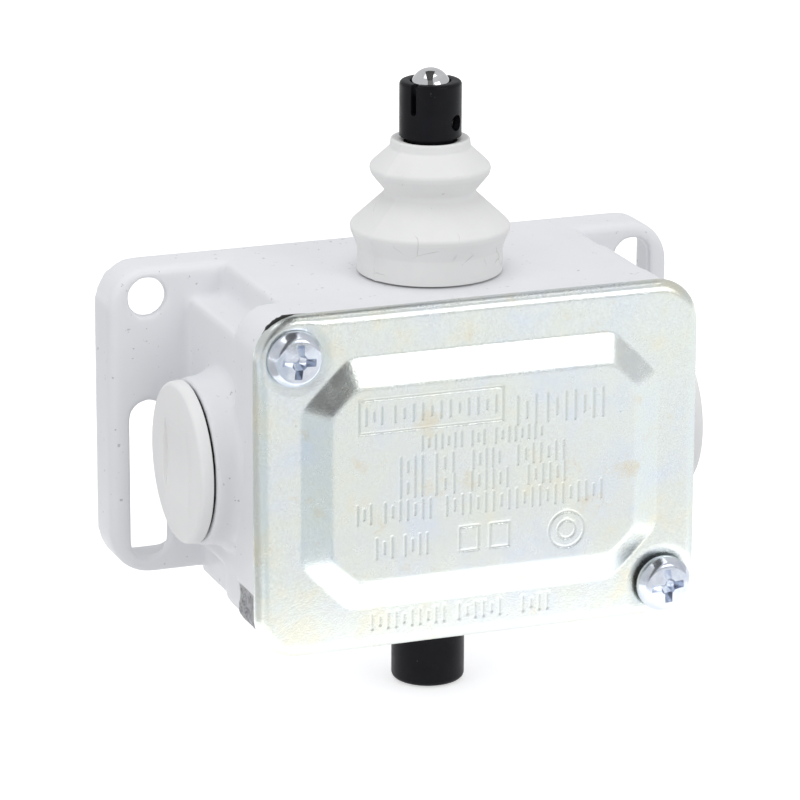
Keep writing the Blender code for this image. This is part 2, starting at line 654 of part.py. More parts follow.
def make_gasket():
    middle = (0, BOX_MIDDLE)
    width, height = RIM_WIDTH - 2 * GASKET_SETBACK, BOX_HEIGHT - 2 * GASKET_SETBACK
    outer = rounded_rectangle(width, height, COVER_CORNER - SHEET - GAP, 6, middle)
    width, height = width - 2 * GASKET_WIDTH, height - 2 * GASKET_WIDTH
    inner = rounded_rectangle(width, height, GASKET_CORNER, 4, middle)
    gasket = slab("cover_gasket", outer, GASKET_BACK, GASKET_FRONT, BLACK_RUBBER)
    cut(gasket, slab("gasket_opening", inner, GASKET_BACK + MM, GASKET_FRONT - MM))
    for side in (-1, 1):
        x, z = COVER_SCREW_AT[side]
        eye = cylinder_y(f"gasket_eye_{side}", x, z, GASKET_EYE, GASKET_BACK, GASKET_FRONT, 24)
        hole = cylinder_y(f"gasket_hole_{side}", x, z, COVER_SCREW + 2 * GAP, 0, GASKET_FRONT - MM)
        join(gasket, eye)
        cut(gasket, hole)
    for step in gasket.modifiers:
        step.solver = "MANIFOLD"
    return gasket


def make_cover_screws():
    for name, side in (("cover_screw_upper", -1), ("cover_screw_lower", 1)):
        x, z = COVER_SCREW_AT[side]
        at = (x, COVER_FRONT - GAP, z)
        screw_piece(
            name,
            at,
            COVER_SCREW,
            COVER_SCREW_HEAD,
            COVER_SCREW_HEAD_DEPTH,
            COVER_SCREW_LENGTH,
            COVER_SCREW_RECESS,
            COVER_SCREW_REACH,
            steps=MEDIUM,
        )


# ---------------------------------------------------------------- cable entries
def make_plug(side, name):
    """Blanking plug: flange with a sunk grip band, hollow threaded stem."""
    reach = -PLUG_STEM
    wall = ENTRY_BORE / 2 - PLUG_WALL
    depth = PLUG_FLANGE_DEPTH
    edge = PLUG_EDGE
    profile = [
        (0, depth),
        *arc((PLUG_FLANGE / 2 - edge, depth - edge), edge, pi / 2, 0, 4),
        (PLUG_FLANGE / 2, 0),
        (ENTRY_BORE / 2, 0),
        (ENTRY_BORE / 2, reach),
        (wall, reach),
        (wall, -PLUG_FLOOR),
        (0, -PLUG_FLOOR),
    ]
    face = ENTRY_FACE + SEAL_DEPTH + 2 * GAP
    plug = turned(name, profile, GREY_PLASTIC, (side * face, AXIS_Y, ENTRY_Z), (0, side * pi / 2, 0), FINE)
    outer = side * (face + depth)
    floor = outer - side * PLUG_SLOT_DEPTH
    low_x, high_x = sorted((floor, outer + side * MM))
    start, end = (low_x, AXIS_Y, ENTRY_Z), (high_x, AXIS_Y, ENTRY_Z)
    disc = rod_along(f"{name}_band", PLUG_FLANGE / 2 - PLUG_SLOT_RIM, start, end, steps=FINE)
    reach_y = PLUG_FLANGE
    for way in (-1, 1):
        limit = ENTRY_Z + way * PLUG_SLOT / 2
        low_z, high_z = sorted((limit, limit + way * PLUG_FLANGE))
        block = box(
            f"{name}_band_limit_{way}",
            (low_x - MM, AXIS_Y - reach_y, low_z),
            (high_x + MM, AXIS_Y + reach_y, high_z),
        )
        cut(disc, block)
    cut(plug, disc)
    return plug


def make_plug_seal(side, name):
    outer, inner = PLUG_FLANGE / 2 - SEAL_SETBACK, ENTRY_BORE / 2 + GAP
    profile = [(outer, SEAL_DEPTH), (outer, 0), (inner, 0), (inner, SEAL_DEPTH)]
    at = (side * (ENTRY_FACE + GAP), AXIS_Y, ENTRY_Z)
    return turned(name, profile, BLACK_RUBBER, at, (0, side * pi / 2, 0), FINE, ring=True)


# ---------------------------------------------------------------- plunger
def make_head():
    """Slotted black cap, grooved for the bellows, with a socket for the ball."""
    r, bore, socket = HEAD / 2, ROD / 2 + GAP, BALL / 2 + GAP
    groove = bore + HEAD_GROOVE_WALL
    edge = min(HEAD_EDGE, 0.8 * (r - socket))
    shelf = BALL_Z - BALL / 2 - GAP
    profile = [
        (socket, HEAD_TOP_Z),
        *arc((r - edge, HEAD_TOP_Z - edge), edge, pi / 2, 0, 4),
        (r, GROOVE_TOP),
        (groove, GROOVE_TOP),
        (groove, GROOVE_BOTTOM),
        (r, GROOVE_BOTTOM),
        (r, HEAD_BOTTOM),
        (bore, HEAD_BOTTOM),
        (bore, shelf),
        (socket, shelf + GAP),
    ]
    head = turned("plunger_head", profile, BLACK_PLASTIC, (0, AXIS_Y, 0), steps=MEDIUM, ring=True)
    slit = box(
        "head_slit",
        (-HEAD, -HEAD_SLIT / 2, HEAD_TOP_Z - HEAD_SLIT_DEPTH + HEAD_SLIT / 2),
        (HEAD, HEAD_SLIT / 2, HEAD_TOP_Z + MM),
    )
    slit_end = rod_along(
        "head_slit_end",
        HEAD_SLIT / 2,
        (-HEAD, 0, HEAD_TOP_Z - HEAD_SLIT_DEPTH + HEAD_SLIT / 2),
        (HEAD, 0, HEAD_TOP_Z - HEAD_SLIT_DEPTH + HEAD_SLIT / 2),
        steps=12,
    )
    for cutter in (slit, slit_end):
        cutter.location = (0, AXIS_Y, 0)
        cutter.rotation_euler = (0, 0, HEAD_SLIT_ANGLE)
    cut(head, slit, slit_end, pin_hole("head_pin_hole"))
    return head


def pin_direction():
    """The cross pin lies square to the slit."""
    return Vector((sin(HEAD_SLIT_ANGLE), -cos(HEAD_SLIT_ANGLE), 0))


def pin_hole(name):
    centre, reach = Vector((0, AXIS_Y, PIN_Z)), pin_direction() * HEAD
    return rod_along(name, PIN / 2 + GAP, centre - reach, centre + reach, steps=16)


def make_pin():
    centre, reach = Vector((0, AXIS_Y, PIN_Z)), pin_direction() * (HEAD / 2 - PIN_SINK)
    return rod_along("cross_pin", PIN / 2, centre - reach, centre + reach, BRIGHT_STEEL, 16)


def make_ball():
    r = BALL / 2
    profile = [(0, r), *[(r * sin(a), r * cos(a)) for a in np.linspace(0, pi, 13)[1:-1]], (0, -r)]
    return turned("steel_ball", profile, CHROME, (0, AXIS_Y, BALL_Z), steps=24)


def make_rod():
    """Rod with a collar that drives the contact carrier and one that the return spring lifts."""
    r, stem = ROD / 2, STEM / 2
    collar_top = CARRIER_STOP
    collar_low = collar_top - CARRIER_COLLAR_HEIGHT
    groove_top, groove_low = CARRIER_BOTTOM - GAP, CARRIER_BOTTOM - 3 * GAP - CLIP_THICKNESS
    spring_top = SPRING_COLLAR_Z + SPRING_COLLAR_HEIGHT
    foot = SPRING_COLLAR_Z - STEM_LENGTH
    profile = [
        (0, ROD_TOP),
        (r - 0.3 * MM, ROD_TOP),
        (r, ROD_TOP - 0.3 * MM),
        (r, collar_top),
        (CARRIER_COLLAR / 2, collar_top),
        (CARRIER_COLLAR / 2, collar_low),
        (r, collar_low),
        (r, groove_top),
        (r - CLIP_GROOVE_DEPTH, groove_top),
        (r - CLIP_GROOVE_DEPTH, groove_low),
        (r, groove_low),
        (r, spring_top),
        (SPRING_COLLAR / 2, spring_top),
        (SPRING_COLLAR / 2, SPRING_COLLAR_Z),
        (stem, SPRING_COLLAR_Z),
        (stem, foot + 0.5 * MM),
        (stem - 0.5 * MM, foot),
        (0, foot),
    ]
    rod = turned("plunger_rod", profile, BRIGHT_STEEL, (0, AXIS_Y, 0), steps=20)
    cut(rod, pin_hole("rod_pin_hole"))
    return rod


def make_clip():
    """Open retaining clip under the contact carrier."""
    inner = ROD / 2 - CLIP_GROOVE_DEPTH + GAP
    mouth = asin(0.8 * inner / (CLIP_OUTSIDE / 2))
    outline = arc((0, 0), CLIP_OUTSIDE / 2, mouth, tau - mouth, 18)
    outline += arc((0, 0), inner, tau - 1.0, 1.0, 14)
    top = CARRIER_BOTTOM - 2 * GAP
    clip = slab("retaining_clip", outline, CLIP_THICKNESS / 2, -CLIP_THICKNESS / 2, SPRING_STEEL)
    clip.rotation_euler = (pi / 2, 0, radians(-90))
    clip.location = (0, AXIS_Y, top - CLIP_THICKNESS / 2)
    return clip


# ---------------------------------------------------------------- bellows
def boot_outside():
    """(radius, height) of the bellows, heights above the case, top to bottom."""
    collar, upper, waist = BOOT_COLLAR / 2, BOOT_UPPER_FOLD / 2, BOOT_WAIST / 2
    lower, base = BOOT_LOWER_FOLD / 2, BOOT_BASE / 2
    top = GROOVE_TOP - TOP - GAP
    return [
        (collar - 0.4 * MM, top),
        (collar, top - 0.4 * MM),
        (collar + 0.1 * MM, top - 1.1 * MM),
        (collar + 1.2 * MM, top - 2.3 * MM),
        (upper - 0.7 * MM, BOOT_UPPER_FOLD_Z + 1.0 * MM),
        (upper - 0.1 * MM, BOOT_UPPER_FOLD_Z + 0.4 * MM),
        (upper, BOOT_UPPER_FOLD_Z - 0.1 * MM),
        (upper - 0.2 * MM, BOOT_UPPER_FOLD_Z - 0.6 * MM),
        (waist + 1.0 * MM, BOOT_WAIST_Z + 1.6 * MM),
        (waist, BOOT_WAIST_Z + 0.5 * MM),
        (waist, BOOT_WAIST_Z - 0.4 * MM),
        (waist + 0.9 * MM, BOOT_WAIST_Z - 1.3 * MM),
        (lower - 1.1 * MM, BOOT_LOWER_FOLD_Z + 1.0 * MM),
        (lower - 0.1 * MM, BOOT_LOWER_FOLD_Z + 0.3 * MM),
        (lower, BOOT_LOWER_FOLD_Z - 0.3 * MM),
        (lower - 0.3 * MM, BOOT_LOWER_FOLD_Z - 0.8 * MM),
        (base - 0.5 * MM, BOOT_BASE_HEIGHT + 0.7 * MM),
        (base - 0.1 * MM, BOOT_BASE_HEIGHT),
        (base, BOOT_BASE_HEIGHT - 0.6 * MM),
        (base, GAP),
    ]


def make_boot():
    outside = boot_outside()
    lip_top, lip_low = outside[0][1], GROOVE_BOTTOM - TOP + GAP
    neck = ROD / 2 + GAP + HEAD_GROOVE_WALL + GAP
    seat = BUSH_FLANGE / 2 + GAP
    seat_top = GAP + BUSH_FLANGE_HEIGHT + GAP
    inside = [
        (seat, GAP),
        (seat, seat_top),
        (BOOT_LOWER_FOLD / 2 - 2.6 * BOOT_WALL, BOOT_LOWER_FOLD_Z - 1.2 * MM),
        (BOOT_LOWER_FOLD / 2 - 1.9 * BOOT_WALL, BOOT_LOWER_FOLD_Z - 0.3 * MM),
        (BOOT_LOWER_FOLD / 2 - 2.4 * BOOT_WALL, BOOT_LOWER_FOLD_Z + 0.4 * MM),
        (BOOT_WAIST / 2 - BOOT_WALL + 0.2 * MM, BOOT_WAIST_Z - 1.0 * MM),
        (BOOT_WAIST / 2 - BOOT_WALL, BOOT_WAIST_Z + 0.3 * MM),
        (BOOT_UPPER_FOLD / 2 - 2.2 * BOOT_WALL, BOOT_UPPER_FOLD_Z - 0.9 * MM),
        (BOOT_UPPER_FOLD / 2 - 1.7 * BOOT_WALL, BOOT_UPPER_FOLD_Z - 0.1 * MM),
        (BOOT_UPPER_FOLD / 2 - 2.2 * BOOT_WALL, BOOT_UPPER_FOLD_Z + 0.5 * MM),
        (HEAD / 2 + GAP, lip_low - 0.5 * MM),
        (HEAD / 2 + GAP, lip_low),
        (neck, lip_low),
        (neck, lip_top),
    ]
    return turned("plunger_boot", outside + inside, WHITE_RUBBER, (0, AXIS_Y, TOP), steps=28, ring=True)


# ---------------------------------------------------------------- guides and return spring
def make_bush():
    """Flanged guide bush, held by a nut inside the case, with a groove for the rod seal."""
    bore, neck, flange = ROD / 2 + GAP, BUSH_NECK / 2, BUSH_FLANGE / 2
    seal_z = TOP - ROD_SEAL_DROP
    half = ROD_SEAL_SECTION / 2 + GAP
    groove = bore + ROD_SEAL_SECTION + GAP
    top = TOP + GAP + BUSH_FLANGE_HEIGHT
    profile = [
        (bore, top),
        (flange, top),
        (flange, TOP + GAP),
        (neck, TOP + GAP),
        (neck, BUSH_BOTTOM),
        (bore, BUSH_BOTTOM),
        (bore, seal_z - half),
        (groove, seal_z - half),
        (groove, seal_z + half),
        (bore, seal_z + half),
    ]
    return turned("guide_bush", profile, BRASS, (0, AXIS_Y, 0), steps=MEDIUM, ring=True)


def make_bush_nut():
    top, corner = TOP - WALL - GAP, NUT_FLATS / 2 / cos(pi / 6)
    low = top - NUT_HEIGHT
    profile = [(0, top), (corner, top), (corner, low), (0, low)]
    nut = turned("bush_nut", profile, BRIGHT_STEEL, (0, AXIS_Y, 0), steps=6)
    start, end = (0, AXIS_Y, low - MM), (0, AXIS_Y, top + MM)
    cut(nut, rod_along("nut_hole", BUSH_NECK / 2 + GAP, start, end, steps=MEDIUM))
    return nut


def make_rod_seal():
    section = ROD_SEAL_SECTION / 2
    centre = ROD / 2 + GAP + section
    profile = [(centre + section * cos(a), section * sin(a)) for a in np.linspace(0, -tau, 9)[:-1]]
    return turned("rod_seal", profile, BLACK_RUBBER, (0, AXIS_Y, TOP - ROD_SEAL_DROP), steps=20, ring=True)


def make_cap():
    """Closed guide cap below the case, which holds the return spring."""
    r, neck, bore = CAP / 2, CAP_NECK / 2, CAP_BORE / 2
    shoulder = BOTTOM - GAP
    profile = [
        (bore, CAP_NECK_TOP),
        (neck, CAP_NECK_TOP),
        (neck, shoulder),
        (r, shoulder),
        *arc((r - CAP_EDGE, CAP_BOTTOM + CAP_EDGE), CAP_EDGE, 0, -pi / 2, 4),
        (0, CAP_BOTTOM),
        (0, CAP_BOTTOM + CAP_FLOOR),
        (bore, CAP_BOTTOM + CAP_FLOOR),
    ]
    return turned("lower_guide_cap", profile, BLACK_PLASTIC, (0, AXIS_Y, 0), steps=MEDIUM, ring=True)


def make_return_spring():
    radius = (CAP_BORE / 2 - GAP + STEM / 2 + GAP) / 2
    return coil(
        "return_spring",
        radius,
        RETURN_WIRE,
        SPRING_FLOOR,
        SPRING_COLLAR_Z - GAP,
        RETURN_TURNS,
        SPRING_STEEL,
        (0, AXIS_Y, 0),
    )


# ---------------------------------------------------------------- contact set
def make_block():
    """Moulded base with two towers, each slotted for two contact strips."""
    half = BLOCK_WIDTH / 2
    low_z, high_z = BRIDGE_Z - BLOCK_HEIGHT / 2, BRIDGE_Z + BLOCK_HEIGHT / 2
    low, high = (-half, BLOCK_FACE, low_z), (half, BLOCK_BACK, high_z)
    block = box("contact_block", low, high, DARK_MOULDING)
    for side in (-1, 1):
        low_x, high_x = sorted((side * TOWER_INSIDE, side * half))
        low, high = (low_x, TOWER_FACE, low_z), (high_x, BLOCK_FACE + MM, high_z)
        join(block, box(f"tower_{side}", low, high))
        for kind, z in (("nc", NC_STRIP_Z), ("no", NO_STRIP_Z)):
            reach = BRIDGE_Y + STRIP_WIDTH / 2 + GAP
            low = (low_x - MM, TOWER_FACE - MM, z - STRIP / 2 - GAP)
            high = (high_x + MM, reach, z + STRIP / 2 + GAP)
            cut(block, box(f"strip_slot_{kind}_{side}", low, high))
            x, screw_z = side * terminal_x(), terminal_z(kind)
            depth, hole = TOWER_FACE + TERMINAL_SCREW_LENGTH + MM, TERMINAL_SCREW + 2 * GAP
            name = f"terminal_hole_{kind}_{side}"
            cut(block, cylinder_y(name, x, screw_z, hole, depth, TOWER_FACE - MM))
        eye = cylinder_y(
            f"block_eye_{side}",
            side * BLOCK_SCREW_X,
            side * BLOCK_SCREW_Z,
            BLOCK_SCREW + 2 * GAP,
            BLOCK_BACK + MM,
            BLOCK_FACE - MM,
        )
        cut(block, eye)
    return block


def terminal_x():
    return BLOCK_WIDTH / 2 - TOWER_WIDTH / 2


def terminal_z(kind):
    return BRIDGE_Z + (TERMINAL_Z if kind == "nc" else -TERMINAL_Z)


def make_terminal(side, kind, name):
    """Bent contact strip: a tip towards the bridge, a screw tab on the tower's front."""
    z = NC_STRIP_Z if kind == "nc" else NO_STRIP_Z
    up = 1 if kind == "nc" else -1
    tab_front, tab_back = TOWER_FACE - GAP - STRIP, TOWER_FACE - GAP
    contact_x = side * BRIDGE_SPAN / 2
    low_x, high_x = sorted((contact_x - side * (TIP / 2 + TIP_LIP), side * (BLOCK_WIDTH / 2 - GAP)))
    strip_back = BRIDGE_Y + STRIP_WIDTH / 2
    arm_front = BRIDGE_Y - STRIP_WIDTH / 2
    terminal = box(name, (low_x, arm_front, z - STRIP / 2), (high_x, strip_back, z + STRIP / 2), BRASS)
    low_x, high_x = sorted((side * (TOWER_INSIDE + GAP), side * (BLOCK_WIDTH / 2 - GAP)))
    low, high = (low_x, tab_front, z - STRIP / 2), (high_x, strip_back, z + STRIP / 2)
    join(terminal, box(f"{name}_foot", low, high))
    low_z, high_z = sorted((z - up * STRIP / 2, terminal_z(kind) + up * TERMINAL_TAB))
    join(terminal, box(f"{name}_tab", (low_x, tab_front, low_z), (high_x, tab_back, high_z)))
    tip_end = z - up * (STRIP / 2 + TIP_HEIGHT)
    start, end = (contact_x, BRIDGE_Y, z), (contact_x, BRIDGE_Y, tip_end)
    join(terminal, rod_along(f"{name}_tip", TIP / 2, start, end))
    x, hole = side * terminal_x(), TERMINAL_SCREW + 2 * GAP
    cut(terminal, cylinder_y(f"{name}_hole", x, terminal_z(kind), hole, TOWER_FACE, tab_front - MM))
    return terminal


def make_bridge():
    """Moving contact bar with a silver tip on both faces of each end."""
    length = BRIDGE_SPAN + TIP + 2 * TIP_LIP
    outline = rounded_rectangle(length, BRIDGE_WIDTH, SMALL_CORNER, 3)
    bridge = slab("contact_bridge", outline, STRIP / 2, -STRIP / 2, SILVERED)
    move = Matrix.Translation((0, BRIDGE_Y, BRIDGE_Z))
    bridge.data.transform(move @ Matrix.Rotation(-pi / 2, 4, "X"))
    reach = STRIP / 2 + TIP_HEIGHT
    for side in (-1, 1):
        x = side * BRIDGE_SPAN / 2
        start, end = (x, BRIDGE_Y, BRIDGE_Z - reach), (x, BRIDGE_Y, BRIDGE_Z + reach)
        join(bridge, rod_along(f"bridge_tip_{side}", TIP / 2, start, end))
    return bridge


def window_floor():
    return BRIDGE_Z - STRIP / 2 - GAP


def make_carrier():
    """Moulded slide on the rod, with the window that holds the bridge and its spring."""
    half = CARRIER_WIDTH / 2
    carrier = box(
        "contact_carrier",
        (-half, AXIS_Y - CARRIER_FRONT, CARRIER_BOTTOM),
        (half, AXIS_Y + CARRIER_BACK, CARRIER_STOP),
        DARK_MOULDING,
    )
    start, end = (0, AXIS_Y, CARRIER_BOTTOM - MM), (0, AXIS_Y, CARRIER_STOP + MM)
    bore = rod_along("carrier_bore", ROD / 2 + GAP, start, end, steps=24)
    start = (0, AXIS_Y, CARRIER_STOP - CARRIER_COLLAR_HEIGHT - GAP)
    counterbore = rod_along("carrier_counterbore", CARRIER_COLLAR / 2 + GAP, start, end, steps=24)
    floor = window_floor()
    window = box(
        "carrier_window",
        (-half - MM, BRIDGE_Y - WINDOW_DEPTH / 2, floor),
        (half + MM, BRIDGE_Y + WINDOW_DEPTH / 2, floor + WINDOW_HEIGHT),
    )
    cut(carrier, bore, counterbore, window)
    return carrier


def make_contact_spring():
    low = BRIDGE_Z + STRIP / 2 + GAP
    high = window_floor() + WINDOW_HEIGHT - GAP
    radius = (CONTACT_COIL - CONTACT_WIRE) / 2
    return coil(
        "contact_spring", radius, CONTACT_WIRE, low, high, CONTACT_TURNS, SPRING_STEEL, (0, BRIDGE_Y, 0)
    )


def make_screws_inside():
    for side, word in ((-1, "left"), (1, "right")):
        for kind in ("nc", "no"):
            at = (side * terminal_x(), TOWER_FACE - 2 * GAP - STRIP, terminal_z(kind))
            screw_piece(
                f"terminal_screw_{kind}_{word}",
                at,
                TERMINAL_SCREW,
                TERMINAL_SCREW_HEAD,
                SMALL_SCREW_HEAD_DEPTH,
                TERMINAL_SCREW_LENGTH,
                SMALL_SCREW_RECESS,
                SMALL_SCREW_REACH,
            )
        at = (side * BLOCK_SCREW_X, BLOCK_FACE - GAP, side * BLOCK_SCREW_Z)
        screw_piece(
            f"block_screw_{word}",
            at,
            BLOCK_SCREW,
            BLOCK_SCREW_HEAD,
            SMALL_SCREW_HEAD_DEPTH,
            BLOCK_BASE + BLOCK_STANDOFF + BACK_WALL / 2,
            SMALL_SCREW_RECESS,
            SMALL_SCREW_REACH,
        )


def make_earth_terminal():
    z = BOTTOM + WALL + EARTH_RISE
    face = -BACK_WALL - EARTH_POST_LENGTH - GAP
    side = EARTH_POST + 2 * EARTH_CLAMP_LIP
    outline = rounded_rectangle(side, side, SMALL_CORNER, 3, (EARTH_X, z))
    clamp = slab("earth_clamp", outline, face, face - EARTH_CLAMP, BRASS)
    hole = EARTH_SCREW + 2 * GAP
    cut(clamp, cylinder_y("earth_clamp_hole", EARTH_X, z, hole, face + MM, face - EARTH_CLAMP - MM))
    screw_piece(
        "earth_screw",
        (EARTH_X, face - EARTH_CLAMP - GAP, z),
        EARTH_SCREW,
        EARTH_SCREW_HEAD,
        EARTH_SCREW_HEAD_DEPTH,
        EARTH_POST_LENGTH - MM,
        EARTH_SCREW_RECESS,
        EARTH_SCREW_REACH,
    )


# ---------------------------------------------------------------- assembly
make_housing()
make_cover()
make_gasket()
make_cover_screws()
for end, word in ((-1, "left"), (1, "right")):
    make_plug(end, f"cable_plug_{word}")
    make_plug_seal(end, f"plug_seal_{word}")
    for contact in ("nc", "no"):
        make_terminal(end, contact, f"terminal_{contact}_{word}")
make_boot()
make_head()
make_ball()
make_pin()
make_rod()
make_clip()
make_bush()
make_bush_nut()
make_rod_seal()
make_cap()
make_return_spring()
make_block()
make_carrier()
make_bridge()
make_contact_spring()
make_screws_inside()
make_earth_terminal()
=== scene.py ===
"""Looks of the plunger limit switch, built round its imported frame.

Metres. +Z runs up the plunger and the front cover faces -Y.
"""

import json
from math import cos, hypot, pi, radians, sin, tan, tau

import bmesh
import bpy
import numpy as np
from mathutils import Matrix, Vector, noise
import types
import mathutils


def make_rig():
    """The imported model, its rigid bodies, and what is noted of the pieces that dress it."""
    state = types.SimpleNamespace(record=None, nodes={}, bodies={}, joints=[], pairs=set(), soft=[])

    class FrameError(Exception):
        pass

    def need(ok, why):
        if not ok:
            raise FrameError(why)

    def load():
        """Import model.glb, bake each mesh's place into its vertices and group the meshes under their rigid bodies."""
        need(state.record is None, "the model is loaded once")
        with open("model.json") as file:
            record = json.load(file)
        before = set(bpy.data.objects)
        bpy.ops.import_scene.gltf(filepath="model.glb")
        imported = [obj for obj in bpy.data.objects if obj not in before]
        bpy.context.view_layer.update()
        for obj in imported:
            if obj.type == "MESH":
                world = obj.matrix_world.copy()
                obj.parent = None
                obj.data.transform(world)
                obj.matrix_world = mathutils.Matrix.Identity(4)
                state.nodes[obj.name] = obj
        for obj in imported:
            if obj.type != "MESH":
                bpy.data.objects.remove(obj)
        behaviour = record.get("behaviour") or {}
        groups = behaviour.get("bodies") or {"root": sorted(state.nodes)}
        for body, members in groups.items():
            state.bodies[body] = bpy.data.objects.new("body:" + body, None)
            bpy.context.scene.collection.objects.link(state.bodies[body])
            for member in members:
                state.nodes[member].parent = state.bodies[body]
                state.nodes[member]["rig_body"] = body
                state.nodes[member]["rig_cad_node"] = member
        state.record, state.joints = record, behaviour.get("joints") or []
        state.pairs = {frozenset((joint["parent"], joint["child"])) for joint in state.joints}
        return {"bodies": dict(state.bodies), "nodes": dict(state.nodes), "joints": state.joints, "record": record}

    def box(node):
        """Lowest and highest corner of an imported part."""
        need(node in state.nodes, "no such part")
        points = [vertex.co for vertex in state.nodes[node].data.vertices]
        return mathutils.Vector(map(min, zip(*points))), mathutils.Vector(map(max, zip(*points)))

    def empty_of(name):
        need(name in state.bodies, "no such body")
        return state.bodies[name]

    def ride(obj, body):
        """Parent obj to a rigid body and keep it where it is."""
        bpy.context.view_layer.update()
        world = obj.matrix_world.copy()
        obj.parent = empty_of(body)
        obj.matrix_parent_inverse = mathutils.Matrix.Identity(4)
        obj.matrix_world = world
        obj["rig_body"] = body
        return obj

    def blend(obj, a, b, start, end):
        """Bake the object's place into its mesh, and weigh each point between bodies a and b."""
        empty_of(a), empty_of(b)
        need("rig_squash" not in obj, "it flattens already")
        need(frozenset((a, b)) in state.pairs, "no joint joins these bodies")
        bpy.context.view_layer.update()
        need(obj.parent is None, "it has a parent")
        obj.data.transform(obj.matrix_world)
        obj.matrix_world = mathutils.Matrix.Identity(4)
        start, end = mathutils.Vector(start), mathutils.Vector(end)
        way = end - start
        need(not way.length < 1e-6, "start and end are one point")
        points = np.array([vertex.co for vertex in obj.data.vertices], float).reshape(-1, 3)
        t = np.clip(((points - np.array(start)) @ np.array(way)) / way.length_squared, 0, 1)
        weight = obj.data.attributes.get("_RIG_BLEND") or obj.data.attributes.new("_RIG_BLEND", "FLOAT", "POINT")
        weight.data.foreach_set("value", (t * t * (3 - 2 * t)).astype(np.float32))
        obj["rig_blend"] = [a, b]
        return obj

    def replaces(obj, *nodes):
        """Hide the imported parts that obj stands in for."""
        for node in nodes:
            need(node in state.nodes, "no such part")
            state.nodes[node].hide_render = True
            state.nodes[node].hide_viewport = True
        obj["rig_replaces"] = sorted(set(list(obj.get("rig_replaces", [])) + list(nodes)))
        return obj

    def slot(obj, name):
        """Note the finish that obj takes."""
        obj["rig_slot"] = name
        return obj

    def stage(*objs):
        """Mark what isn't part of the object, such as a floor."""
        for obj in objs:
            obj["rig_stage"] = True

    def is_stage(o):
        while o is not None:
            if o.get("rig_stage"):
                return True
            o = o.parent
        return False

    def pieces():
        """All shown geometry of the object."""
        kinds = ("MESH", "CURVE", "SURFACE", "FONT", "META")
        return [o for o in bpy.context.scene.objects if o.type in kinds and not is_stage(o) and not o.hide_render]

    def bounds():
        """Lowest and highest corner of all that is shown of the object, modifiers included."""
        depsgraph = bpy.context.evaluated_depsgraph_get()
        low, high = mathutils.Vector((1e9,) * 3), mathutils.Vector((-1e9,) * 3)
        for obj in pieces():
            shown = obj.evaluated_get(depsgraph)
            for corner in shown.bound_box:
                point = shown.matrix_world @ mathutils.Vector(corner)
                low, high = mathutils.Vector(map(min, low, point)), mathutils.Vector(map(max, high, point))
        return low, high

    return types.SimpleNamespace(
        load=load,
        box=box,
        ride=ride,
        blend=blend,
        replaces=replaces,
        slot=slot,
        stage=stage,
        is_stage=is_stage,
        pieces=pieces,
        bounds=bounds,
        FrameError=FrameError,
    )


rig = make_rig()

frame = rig.load()
cad_low, cad_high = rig.bounds()

MM = 0.001

# ---------------------------------------------------------------- places and sizes
case_low, case_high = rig.box("housing")
cover_low, cover_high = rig.box("cover")
boot_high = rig.box("plunger_boot")[1]
head_low, head_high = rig.box("plunger_head")
ball_low, ball_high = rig.box("steel_ball")
cap_low, cap_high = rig.box("lower_guide_cap")

AXIS = Vector((0, (head_low.y + head_high.y) / 2, 0))  # the plunger's axis
TOP, BOTTOM = case_high.z, case_low.z
MIDDLE_Z = (TOP + BOTTOM) / 2
RIM_FRONT = case_low.y

# Case
BOX_WIDTH = 70.6 * MM
WALL = 2.6 * MM
BACK_WALL = 3.0 * MM
BOX_CORNER = 4.2 * MM
RIM_WIDTH = 73.2 * MM
RIM_DEPTH = 10.9 * MM
RIM_CORNER = 5.5 * MM
PLATE_DEPTH = 8.5 * MM
PLATE_CORNER = 7.0 * MM
PLATE_EDGE = 1.5 * MM
EAR_WALL = 2.0 * MM
SKIRT_WALL = 2.2 * MM
NOTCH_HEIGHT = 5.6 * MM
DEEP_NOTCH, SHALLOW_NOTCH = 5.8 * MM, 3.0 * MM
MOUNT_HOLE = 6.4 * MM
MOUNT_INSET = Vector((6.5 * MM, 0, 4.8 * MM))
MOUNT_SLOT_LENGTH = 27.0 * MM
MOUNT_SLOT_INSET = 2.6 * MM
ENTRY_Z = -2.0 * MM
ENTRY_BORE = 21.0 * MM
BOSS_TIP, BOSS_FOOT, BOSS_LENGTH = 26.8 * MM, 29.6 * MM, 5.5 * MM
SEAL_RADIUS, SEAL_SEAT = 12.0 * MM, 0.75 * MM
SCAR_TOP = BOTTOM + 8.5 * MM
SCAR_DEPTH, TEAR_DEPTH = 0.7 * MM, 0.35 * MM
CAST_VOXEL = 0.52 * MM
CAST_SMOOTHING = 5

# Inside of the case
CAVITY_CORNER, NECK_CORNER = 1.5 * MM, 1.2 * MM
BUSH_BORE, GUIDE_BORE = 12.6 * MM, 11.2 * MM
SEAT_ROOM = 0.15 * MM
COVER_SCREW_BORE, COVER_SCREW_DEPTH = 4.6 * MM, 9.0 * MM
BLOCK_POST = {"radius": 4.0 * MM, "height": 4.6 * MM, "tap": 1.9 * MM, "floor": 1.2 * MM}
BLOCK_POST_AT = Vector((11 * MM, 0, 8 * MM))
EARTH_POST = {"radius": 4.5 * MM, "height": 11.0 * MM, "tap": 2.3 * MM, "floor": 3.2 * MM}
EJECTOR_RADIUS, EJECTOR_MARK = 3.0 * MM, 0.35 * MM
EJECTOR_AT = Vector((24 * MM, 0, 15 * MM))

